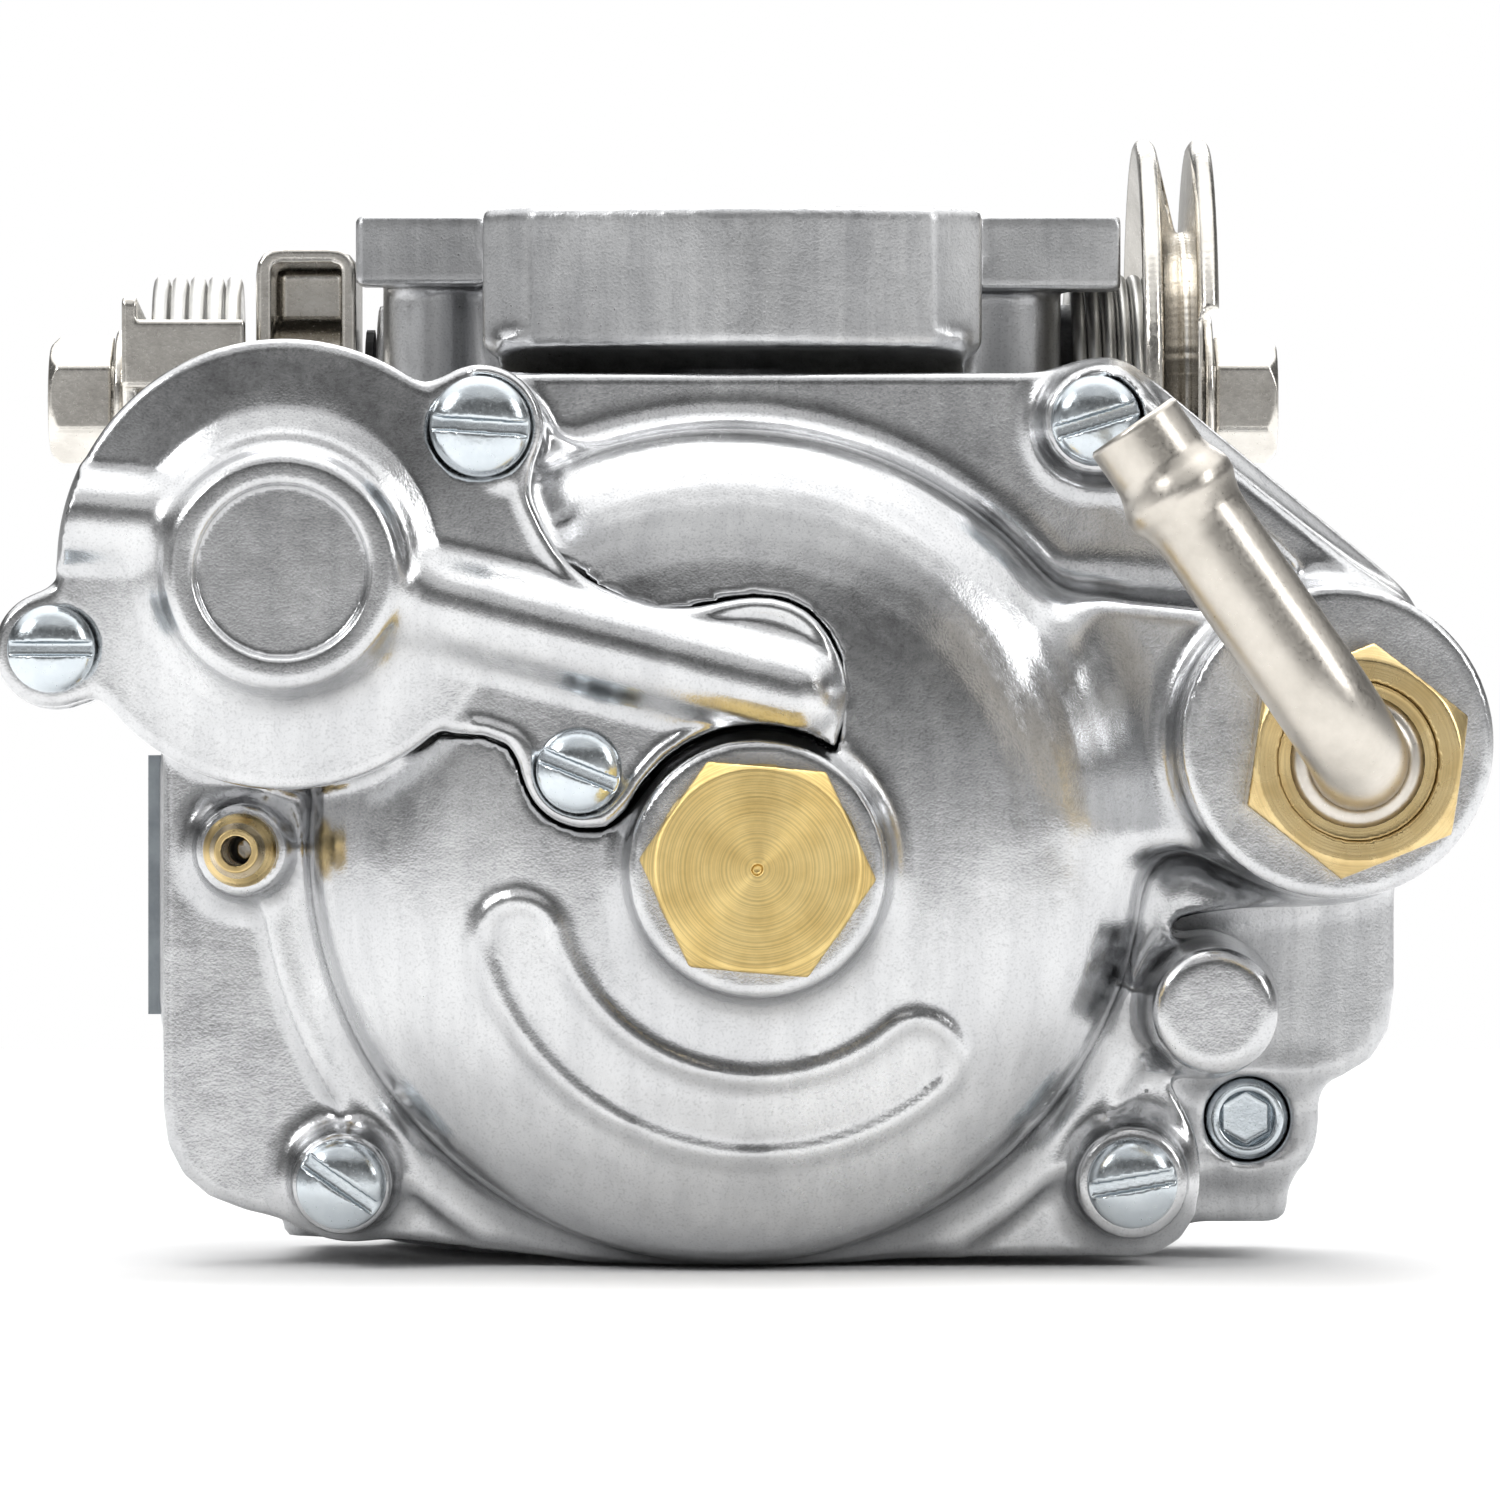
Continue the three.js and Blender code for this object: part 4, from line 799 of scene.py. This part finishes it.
def throttle_body():
    s = Space((-58.5, -49, 0), (65, 37, BODY_HEIGHT), step=0.52)
    y, z = s.along["y"], s.along["z"]
    prow = rounded(
        [
            (-24, -20), (-24, -31), (-19.3, -35), (1.6, -39.3, 7.5), (19.3, -35), (24, -31),
            (24, -20),
        ],
        6,
    )
    ears = [
        (-36.7, -20, 2), (37.8, -20, 2), (37.8, 18, 8), (18, 30, 6), (-18, 30, 6),
        (-36.7, 18, 8),
    ]
    left_block = [(-30, 20), (-30, 52), (-54.9, 52, 5), (-54.9, 20, 5)]
    barrel = s.bar("z", (0, 0), BARREL_R, 0.5, BODY_HEIGHT - 1)
    bell = s.bar("z", (0, 0), BELL_R + 4, 1, 20, edge=0.3, end_radius=BARREL_R)
    bell = np.maximum(bell, -28.5 - y)  # stays behind the face that the bowl is screwed to
    face = s.slab("y", s.outline("y", rounded(rim_points(0.4))), BODY_FACE, -20, edge=0.5)
    face = cut(face, s.box((37.9, -26.3, 56), (75, 5, 90)))
    casting = blend(
        3,
        barrel,
        bell,
        face,
        s.prism("y", left_block, BODY_FACE, -6, edge=0.8),
        s.prism("y", [(20, 17), (63.8, 17, 9), (63.8, 56, 4), (20, 56)], BODY_FACE, -8, edge=1.2),
        s.prism("y", [(20, 8), (56.6, 8, 5), (56.6, 19, 1), (20, 19)], -27.5, -5, edge=1.0),
        s.prism("y", [(20, 3.4), (53.7, 3.4, 2), (53.7, 10), (20, 10)], -26, -3, edge=0.8),
        s.prism("z", [(-43.4, -26, 3), (-20, -26), (-20, 0), (-43.4, 0, 3)], 2, 9, edge=0.6),
        s.bar("x", (0, SHAFT_Z), 9.5, -35.2, 41.8, edge=0.5),
        s.bar("y", MIXTURE, 4.6, 15, 34),
        s.bar("y", ENRICH, 8, 10, 36, edge=0.6),
        s.prism("y", [(-28, 61), (-28, 76), (-58, 74, 3), (-58, 61, 3)], 12, 20, edge=0.8),
        s.box((-32, 5, 60), (-22, 20, 79), edge=0.5),
        *(s.bar("z", place, 4.8, 72, BODY_HEIGHT - 2) for place in BOLTS),
    )
    web = s.prism("x", [(-22, 80), (-34, 88.5), (-22, 88.5)], -22.5, 22.5, edge=0.5)
    flange = union(
        s.slab("z", s.outline("z", prow), 87.4, BODY_HEIGHT, edge=0.9),
        s.bar("z", (0, 0), BARREL_R, 87.4, BODY_HEIGHT, edge=0.35),
        s.prism("z", ears, 96.7, BODY_HEIGHT, edge=0.35),
        s.box((-36.7, -20, 94.2), (-24, -15, BODY_HEIGHT), edge=0.4),
        s.box((24, -20, 93.8), (37.8, -14, BODY_HEIGHT), edge=0.4),
    )
    casting = blend(0.8, casting, flange)
    casting = blend(1.5, casting, web)
    posts = blend(
        1.5,
        s.bar("y", PLUG, 6.5, -22, -48.5),
        s.bar("y", NOZZLE, NOZZLE_R, -22, BODY_FACE),
    )
    casting = union(casting, posts)
    cuts = [
        s.turned("z", (0, 0), bore_profile()),
        s.bar("x", (0, SHAFT_Z), SHAFT_R + 0.1, -40, 45),
        s.bar("y", PLUG, 3.3, -50, -15),
        s.bar("y", NOZZLE, NOZZLE_BORE_R, -40, -15),
        s.bar("y", (-9, 30), 2.8, -40, -24),
        s.bar("y", PUMP, ROD_BORE_R, -40, -10),
        s.bar("y", MIXTURE, SCREW_BORE_R, 10, 40),
        s.bar("y", IDLE, 2.6, 5, 30),
        s.bar("y", ENRICH, 4.4, 14, 40),
        s.bar("y", SOCKET_SCREW, 4.2, -40, -22),
        s.bar("y", SOCKET_SCREW, 2.7, -40, -12),
        *(s.bar("z", place, BOLT_BORE_R, BODY_HEIGHT - 11, BODY_HEIGHT + 2) for place in BOLTS),
        *(s.bar("y", place, SCREW_BORE_R, CLEAR, end + 0.5) for _, place, *_, end in FRONT_SCREWS),
        *(s.bar("x", place, 1.5, -60, -48) for place in ((-22, 28), (-12, 44))),
    ]
    field = np.maximum(cut(casting, *cuts), z - BODY_HEIGHT + 0.05)
    from_field(s, field, rough_aluminium, "throttle_body")


# ---------------------------------------- fasteners and fittings


def front_screws():
    """Slotted pan heads: a short straight edge, then a flattened dome."""
    height, straight = SCREW_HEAD_HEIGHT, 0.9
    for name, place, seat, radius, slot_angle, end in FRONT_SCREWS:
        seat -= GAP
        s = space_round(place, radius, seat - height, end, step=0.2)
        edge = seat - straight
        dome = [(0, seat), (radius - 0.2, seat), (radius, seat - 0.3), (radius, edge)]
        for angle in np.linspace(0, math.pi / 2, 10)[1:]:
            reach = radius * math.cos(angle) ** 0.85
            dome.append((reach, edge - (height - straight) * math.sin(angle)))
        head = s.turned("y", place, dome)
        u, v = (w - c for w, c in zip(s.across["y"], place))
        turn = math.radians(slot_angle)
        across = np.abs(v * math.cos(turn) - u * math.sin(turn)) - SCREW_SLOT / 2
        slot = np.maximum(across, s.along["y"] - (seat - height + 1.5))
        shank = s.bar("y", place, SCREW_SHANK_R, seat - 0.2, end)
        origin = (place[0], seat, place[1])
        from_field(s, cut(union(head, shank), slot), zinc, name, origin)


def hex_head(s, centre, seat, face, corner_r, angle):
    """A hexagon whose corners are turned down towards its face."""
    edge = [
        (0, seat + 1), (corner_r, seat + 1), (corner_r, face + 1.5),
        (BRASS_HEXAGON / 2 - 0.15, face), (0, face),
    ]
    prism = s.slab("y", s.hexagon("y", centre, BRASS_HEXAGON, angle=angle), seat, face, edge=0.15)
    return np.maximum(prism, s.turned("y", centre, edge))


def plug_and_inlet_nut():
    seat = PLUG_SEAT - GAP
    face = seat - BRASS_HEAD_HEIGHT
    s = space_round(PLUG, 11, face, -54, step=0.24)
    head = hex_head(s, PLUG, seat, face, corner_r=11.2, angle=-5)
    washer = s.bar("y", PLUG, 9.8, seat, seat - 0.5, edge=0.15)
    centre_dot = s.bar("y", PLUG, 0.5, face - 1, face + 0.4, edge=0.1)
    shank = s.bar("y", PLUG, 6.5, seat + 6, seat - 0.5)
    origin = (PLUG[0], face, PLUG[1])
    field = cut(union(head, washer, shank), centre_dot)
    from_field(s, field, brass_plug_painted_light, "bowl_plug", origin)

    seat = INLET_BOSS_FACE - GAP
    face = seat - BRASS_HEAD_HEIGHT
    s = space_round(INLET, 11.6, face, -54.5, step=0.24)
    head = hex_head(s, INLET, seat, face, corner_r=11.4, angle=22)
    shank = s.bar("y", INLET, 7.2, -54.5, seat - 0.5)
    well = s.bar("y", INLET, 7.4, face + 1.6, face - 2, edge=0.1)
    bore = s.bar("y", INLET, ELBOW_R + GAP, -50, face - 1)
    origin = (INLET[0], face, INLET[1])
    field = cut(union(head, shank), well, bore)
    from_field(s, field, brass_front, "fuel_inlet_nut", origin)


def nipple():
    s = space_round(NIPPLE, 3.6, -50.6, -37, step=0.13)
    outside = s.turned(
        "y",
        NIPPLE,
        [
            (0, -37), (2.5, -37), (2.5, -42.3), (3.3, -42.3), (3.5, -42.6), (3.5, -44.2),
            (3.2, -44.7), (2.3, -45.6), (2.3, -47.2), (2.65, -48.2), (2.55, -48.7),
            (2.05, -50.6), (0, -50.6),
        ],
    )
    field = cut(outside, s.bar("y", NIPPLE, NIPPLE_BORE_R, -30, -55))
    from_field(s, field, brass_front, "overflow_nipple", (NIPPLE[0], -44, NIPPLE[1]))


def tube_piece(node, path, outer, inner, material):
    """An open-ended tube: an outer and an inner skin joined at both ends."""
    sides = 40
    skin, faces = sweep(path, outer, sides)
    lining, _ = sweep(path, inner, sides)
    faces = faces[:-2]
    count = len(skin)
    inward = [tuple(i + count for i in face[::-1]) for face in faces]
    rims = []
    last = count - sides
    for k in range(sides):
        n = (k + 1) % sides
        rims.append((n, k, k + count, n + count))
        rims.append((last + k, last + n, last + n + count, last + k + count))
    faces += inward + rims
    piece(f"{node}_looks", np.concatenate([skin, lining]), faces, material, node)


def elbow():
    turn_y, bend, start_y = -69, 10, -56
    corner = np.array([INLET[0], turn_y - bend, INLET[1]])
    tip = np.array([36.4, turn_y - bend, 78.5])
    along = (tip - corner) / np.linalg.norm(tip - corner)
    bend_start = np.array([INLET[0], turn_y, INLET[1]])
    bend_end = corner + along * bend
    path = [np.array([INLET[0], y, INLET[1]]) for y in np.linspace(start_y, turn_y, 66)]
    for t in np.linspace(0, 1, 20)[1:-1]:
        path.append((1 - t) ** 2 * bend_start + 2 * t * (1 - t) * corner + t**2 * bend_end)
    path += [bend_end + (tip - bend_end) * t for t in np.linspace(0, 1, 90)]
    path = np.array(path)
    from_tip = np.linalg.norm(path - tip, axis=1)
    stops = (0, 0.25, 4.6, 5.4, 6.3, 7.2, 8.2, 9.2, 10.4, 11.5)
    radii = (4.3, 4.6, 4.6, 4.8, 5.2, 5.5, 5.45, 5.0, 4.65, ELBOW_R)
    outer = np.interp(from_tip, stops, radii)
    inner = np.full(len(path), ELBOW_BORE_R)
    collar = np.interp(path[:, 1], (-68.7, -68.5, -68.1, -67.9), (0, 1.65, 1.65, 0))
    outer = np.where(from_tip > 12, outer + collar, outer)
    tube_piece("fuel_inlet_elbow", path, outer, inner, satin_nickel)


def spring(node, radius, wire, start, end, turns):
    """A coil spring round the throttle shaft."""
    t = np.linspace(0, 1, int(turns * 48))
    angle = 2 * np.pi * turns * t
    path = np.stack(
        [
            start + (end - start) * t,
            radius * np.cos(angle),
            SHAFT_Z + radius * np.sin(angle),
        ],
        1,
    )
    vertices, faces = sweep(path, np.full(len(path), wire / 2), 12)
    piece(f"{node}_looks", vertices, faces, spring_steel, node)


def shaft_line():
    shaft = (0, SHAFT_Z)
    for node, inner, outer in (("shaft_nut_left", -61.5, -67.8), ("shaft_nut_right", 47.8, 54)):
        start, end = sorted((inner, outer))
        s = Space((start, -7, SHAFT_Z - 7), (end, 7, SHAFT_Z + 7), step=0.2)
        chamfer = outer + 0.9 * np.sign(inner - outer)
        profile = [(0, inner), (6.3, inner), (6.3, chamfer), (5.4, outer), (0, outer)]
        hexagon = s.hexagon("x", shaft, SHAFT_NUT, angle=30)
        nut = np.maximum(s.slab("x", hexagon, start, end, edge=0.2), s.turned("x", shaft, profile))
        field = cut(nut, s.bar("x", shaft, SHAFT_R + GAP, start - 2, end + 2))
        from_field(s, field, nickel, node)

    washers = (("lever_washer", 7, -61.2, -60.2), ("spool_washer", 8.5, 46.6, 47.5))
    for node, radius, start, end in washers:
        s = Space((start, -radius, SHAFT_Z - radius), (end, radius, SHAFT_Z + radius), step=0.22)
        field = cut(
            s.bar("x", shaft, radius, start, end, edge=0.25),
            s.bar("x", shaft, SHAFT_R + GAP, start - 2, end + 2),
        )
        from_field(s, field, nickel, node)

    left = -59.9
    s = Space((-60, -15, 64), (-47, 8, 97), step=0.25)
    outline = [(-8, -18.5, 2), (5, -18.5, 2), (7, 0, 2), (4, 8, 3), (-14, 9.7, 1), (-14, 3)]
    outline = [(y, z + SHAFT_Z, *corner) for y, z, *corner in outline]
    lever = union(
        s.prism("x", outline, left, left + SHEET, edge=0.3),
        s.bar("x", shaft, 8, left, left + SHEET, edge=0.3),
        s.box((left, -14, SHAFT_Z + 0.7), (-47.8, SHEET - 14, SHAFT_Z + 7.4), edge=0.4),
        s.box((left, -1.2, SHAFT_Z - 18.5), (-49.5, 1.2, SHAFT_Z - 13), edge=0.4),
    )
    lever = cut(lever, s.bar("x", shaft, SHAFT_R + GAP, -70, -40))
    from_field(s, lever, nickel, "stop_lever")

    left, right, reach, top = -47, -37.1, 17.5, 14.7
    s = Space((left, -9, 63), (right, 8.4, SHAFT_Z + top), step=0.25)
    arch = [(left, 60), (right, 60), (right, SHAFT_Z + top, 2.7), (left, SHAFT_Z + top, 2.7)]
    shell = s.prism("y", arch, 6, -9, edge=0.35)
    inside = s.box(
        (left + SHEET, -12, SHAFT_Z - 30),
        (right - SHEET, 4.5, SHAFT_Z + top - SHEET),
        edge=0.9,
    )
    bracket = np.maximum(cut(shell, inside), SHAFT_Z - s.along["z"])
    lever = union(
        bracket,
        s.bar("x", shaft, 8.4, left, right, edge=0.5),
        s.box((left, -4, SHAFT_Z - reach), (left + SHEET, 4, SHAFT_Z + 1), edge=0.4),
        s.bar("x", (0, SHAFT_Z - reach), 3, left, -39, edge=0.5),
    )
    lever = cut(lever, s.bar("x", shaft, SHAFT_R + GAP, -60, -30))
    from_field(s, lever, nickel, "pump_lever")

    spring("pump_lever_spring", radius=11.6, wire=1.6, start=-57.2, end=-48.2, turns=5)
    spring("throttle_return_spring", radius=11.8, wire=1.42, start=33.5, end=41.6, turns=5.5)


def cable_spool():
    s = Space((40, -26, SHAFT_Z - 26), (47.8, 26, SHAFT_Z + 26), step=0.34)
    shaft = (0, SHAFT_Z)
    dishes = s.turned(
        "x",
        shaft,
        [
            (0, 42.9), (15.4, 42.9), (17, 42.6), (25.1, 39.7), (25.8, 40.1), (25.9, 41.2),
            (25.3, 41.8), (17.4, 43.7), (16.6, 44), (16.6, 44.8), (17.6, 44.8), (25.2, 45.1),
            (25.9, 45.7), (25.9, 46.7), (25.2, 47.2), (16.8, 46.5), (15.4, 46.3), (0, 46.3),
        ],
    )
    field = cut(
        dishes,
        s.bar("x", shaft, SHAFT_R + GAP, 30, 60),
        s.box((45.4, -32, SHAFT_Z - 32), (54, -9, SHAFT_Z + 8), edge=1.5),
        s.bar("x", (-10, SHAFT_Z + 19), 2.4, 30, 44),
    )
    from_field(s, field, nickel, "cable_spool")


def back_fittings():
    s = space_round(SOCKET_SCREW, 4.1, -27.3, -12.8, step=0.2)
    head = s.turned(
        "y",
        SOCKET_SCREW,
        [(0, -22.4), (4, -22.4), (4, -26.6), (3.4, -27.2), (0, -27.2)],
    )
    socket = s.slab("y", s.hexagon("y", SOCKET_SCREW, 4.5, angle=30), -24.4, -30, edge=0.1)
    dish = s.bar("y", SOCKET_SCREW, 2.3, -26.4, -28.5, edge=0.1, end_radius=3.6)
    screw = cut(union(head, s.bar("y", SOCKET_SCREW, 2.4, -12.8, -23)), socket, dish)
    from_field(s, screw, zinc, "passage_screw")

    # name, place, head radius, tip, back of the head, end, shank radius, material, slot
    adjusters = (
        ("idle_speed_screw", IDLE, 3.8, 1.5, 29, 33, 2.3, zinc, "zinc_plate"),
        ("idle_mixture_screw", MIXTURE, 3.6, 23.9, 40, 43.6, 2.1, brass_front, "brass"),
    )
    for node, centre, head_r, start, head_at, end, shank_r, material, slot_name in adjusters:
        s = space_round(centre, head_r, start, end, step=0.2)
        turn = np.arctan2(*(w - c for w, c in zip(s.across["y"], centre)))
        ribs = 0.12 * np.cos(24 * turn)
        knob = s.slab("y", s.disc("y", centre, head_r - 0.15) - ribs, head_at, end, edge=0.3)
        slot = s.box(
            (centre[0] - 6, end - 1.5, centre[1] - 0.6),
            (centre[0] + 6, end + 2, centre[1] + 0.6),
            edge=0.05,
        )
        shank = s.bar("y", centre, shank_r, start, head_at + 0.2, edge=0.5)
        origin = (centre[0], head_at, centre[1])
        from_field(s, cut(union(knob, shank), slot), material, node, origin)

    s = space_round(ENRICH, 5.3, 17, 48.15, step=0.22)
    plunger = s.turned(
        "y",
        ENRICH,
        [
            (0, 17), (4, 17), (4, 28.5), (2.4, 28.5), (2.4, 44), (5.0, 44), (5.2, 44.4),
            (5.1, 45.2), (4.6, 46), (4.6, 47.3), (4.1, 48.15), (0, 48.15),
        ],
    )
    origin = (ENRICH[0], 40, ENRICH[1])
    from_field(s, plunger, brass_front, "enrichment_plunger", origin)
    s = space_round(ENRICH, 8.2, 36.3, 41, step=0.25)
    turned = s.turned("y", ENRICH, [(0, 36.3), (8.0, 36.3), (8.0, 40), (6.9, 41), (0, 41)])
    nut = np.maximum(s.slab("y", s.hexagon("y", ENRICH, 14), 36.3, 41, edge=0.2), turned)
    from_field(s, cut(nut, s.bar("y", ENRICH, 2.8, 30, 45)), zinc, "enrichment_nut")


# material, slot and names of the CAD nodes that keep their shape
CARRIED_OVER = (
    (
        brass_front,
        "brass",
        "throttle_plate plate_screw_1 plate_screw_2 main_jet main_discharge_tube"
        " intermediate_jet inlet_seat pump_nozzle",
    ),
    (nickel, "nickel_plate", "throttle_shaft pump_rod float_pin pump_check_ball"),
    (side_plate_zinc_painted_shade, "zinc_plate", "side_cover_plate"),
    (zinc, "zinc_plate", "side_cover_screw_1 side_cover_screw_2"),
    (
        spring_steel,
        "spring_steel",
        "pump_spring idle_speed_spring idle_mixture_spring enrichment_spring",
    ),
    (gasket_paper, "gasket_paper", "bowl_gasket"),
    (
        seal_rubber,
        "seal_rubber",
        "pump_diaphragm pump_passage_seal plug_seal inlet_needle shaft_seal_left shaft_seal_right",
    ),
    (float_plastic, "float_plastic", "float"),
)


def carried_over():
    """Gives their looks to the CAD nodes that stay as they are, nearly all hidden inside."""
    for material, slot, names in CARRIED_OVER:
        for name in names.split():
            node = frame["nodes"][name]
            node.data.materials.clear()
            node.data.materials.append(material)


# ---------------------------------------- studio


# Brightness of the room against height: 0 straight down, 0.5 level, 1 straight up.
SKY = (
    (0.0, 0.8), (0.48, 0.8), (0.53, 0.5), (0.6, 0.28), (0.66, 0.09), (0.74, 0.1), (0.79, 0.8),
    (0.86, 1.5), (1.0, 1.7),
)
VIEWER_SHADE = (  # dark and bright rings round the viewer, against how near a direction lies
    (0.0, 1.0), (0.68, 1.0), (0.77, 0.5), (0.86, 0.55), (0.92, 1.2), (0.965, 1.1),
    (0.985, 0.75), (1.0, 0.68),
)
BACKDROP = 1.0


def studio_sky():
    """A soft room to reflect, bright overhead and darker at eye level; white to the camera."""
    world = bpy.data.worlds.new("studio")
    world.use_nodes = True
    nodes, links = world.node_tree.nodes, world.node_tree.links

    def towards(direction):
        """0 away from a direction, 1 along it."""
        dot = nodes.new("ShaderNodeVectorMath")
        dot.operation = "DOT_PRODUCT"
        dot.inputs[1].default_value = direction
        links.new(coordinates.outputs["Generated"], dot.inputs[0])
        share = nodes.new("ShaderNodeMapRange")
        share.inputs["From Min"].default_value = -1
        links.new(dot.outputs["Value"], share.inputs["Value"])
        return share.outputs["Result"]

    coordinates = nodes.new("ShaderNodeTexCoord")
    shade = nodes.new("ShaderNodeMix")
    shade.data_type = "RGBA"
    shade.blend_type = "MULTIPLY"
    shade.inputs["Factor"].default_value = 1
    height = colour_ramp(nodes, links, towards((0, 0, 1)), SKY)
    links.new(height, shade.inputs["A"])
    nearness = colour_ramp(nodes, links, towards((0, -1, 0)), VIEWER_SHADE)
    links.new(nearness, shade.inputs["B"])
    room = nodes["Background"]
    links.new(shade.outputs["Result"], room.inputs["Color"])

    white = nodes.new("ShaderNodeBackground")
    white.inputs["Color"].default_value = (BACKDROP, BACKDROP, BACKDROP, 1)
    path = nodes.new("ShaderNodeLightPath")
    choose = nodes.new("ShaderNodeMixShader")
    links.new(path.outputs["Is Camera Ray"], choose.inputs["Fac"])
    links.new(room.outputs[0], choose.inputs[1])
    links.new(white.outputs[0], choose.inputs[2])
    links.new(choose.outputs[0], nodes["World Output"].inputs["Surface"])
    return world


def studio():
    scene = bpy.context.scene
    scene.view_settings.view_transform = "Standard"

    reach = 0.6
    floor_mesh = bpy.data.meshes.new("floor")
    floor_mesh.from_pydata(
        [(-reach, -reach, 0), (reach, -reach, 0), (reach, reach, 0), (-reach, reach, 0)],
        [],
        [(0, 1, 2, 3)],
    )
    floor = bpy.data.objects.new("floor", floor_mesh)
    floor.location.z = -0.0002
    scene.collection.objects.link(floor)
    paper = Material("floor_paper", Roughness=0.9)
    paper.drive("Base Color", paper.ramp(paper.noise(0.05, 3), [(0.3, 0.93), (0.7, 0.95)]))
    floor_mesh.materials.append(paper.material)

    def softbox(name, place, size, power):
        light = bpy.data.lights.new(name, "AREA")
        light.shape = "RECTANGLE"
        light.size, light.size_y = size
        light.energy = power
        lamp = bpy.data.objects.new(name, light)
        lamp.location = place
        aim = Vector((0, 0, 0.05)) - Vector(place)
        lamp.rotation_euler = aim.to_track_quat("-Z", "Y").to_euler()
        scene.collection.objects.link(lamp)

    softbox("key_left", (-0.9, -0.75, 0.8), (0.5, 0.35), 5)
    softbox("key_right", (1.0, -0.6, 0.6), (0.3, 0.5), 3)
    softbox("top", (0.0, 0.15, 1.1), (0.7, 0.5), 4)
    softbox("back", (0.1, 1.2, 0.7), (0.9, 0.5), 4)
    scene.world = studio_sky()

    camera = bpy.data.objects.new("camera", bpy.data.cameras.new("camera"))
    camera.location = TO_ROW @ Vector((1.7, -900, 49))
    camera.rotation_euler = (math.radians(90), 0, 0)
    camera.data.lens = 217
    camera.data.sensor_width = 36
    camera.data.clip_start = 0.05
    camera.data.clip_end = 20
    scene.collection.objects.link(camera)
    scene.camera = camera


carried_over()
float_bowl()
pump_cap()
throttle_body()
front_screws()
plug_and_inlet_nut()
nipple()
elbow()
shaft_line()
cable_spool()
back_fittings()
studio()
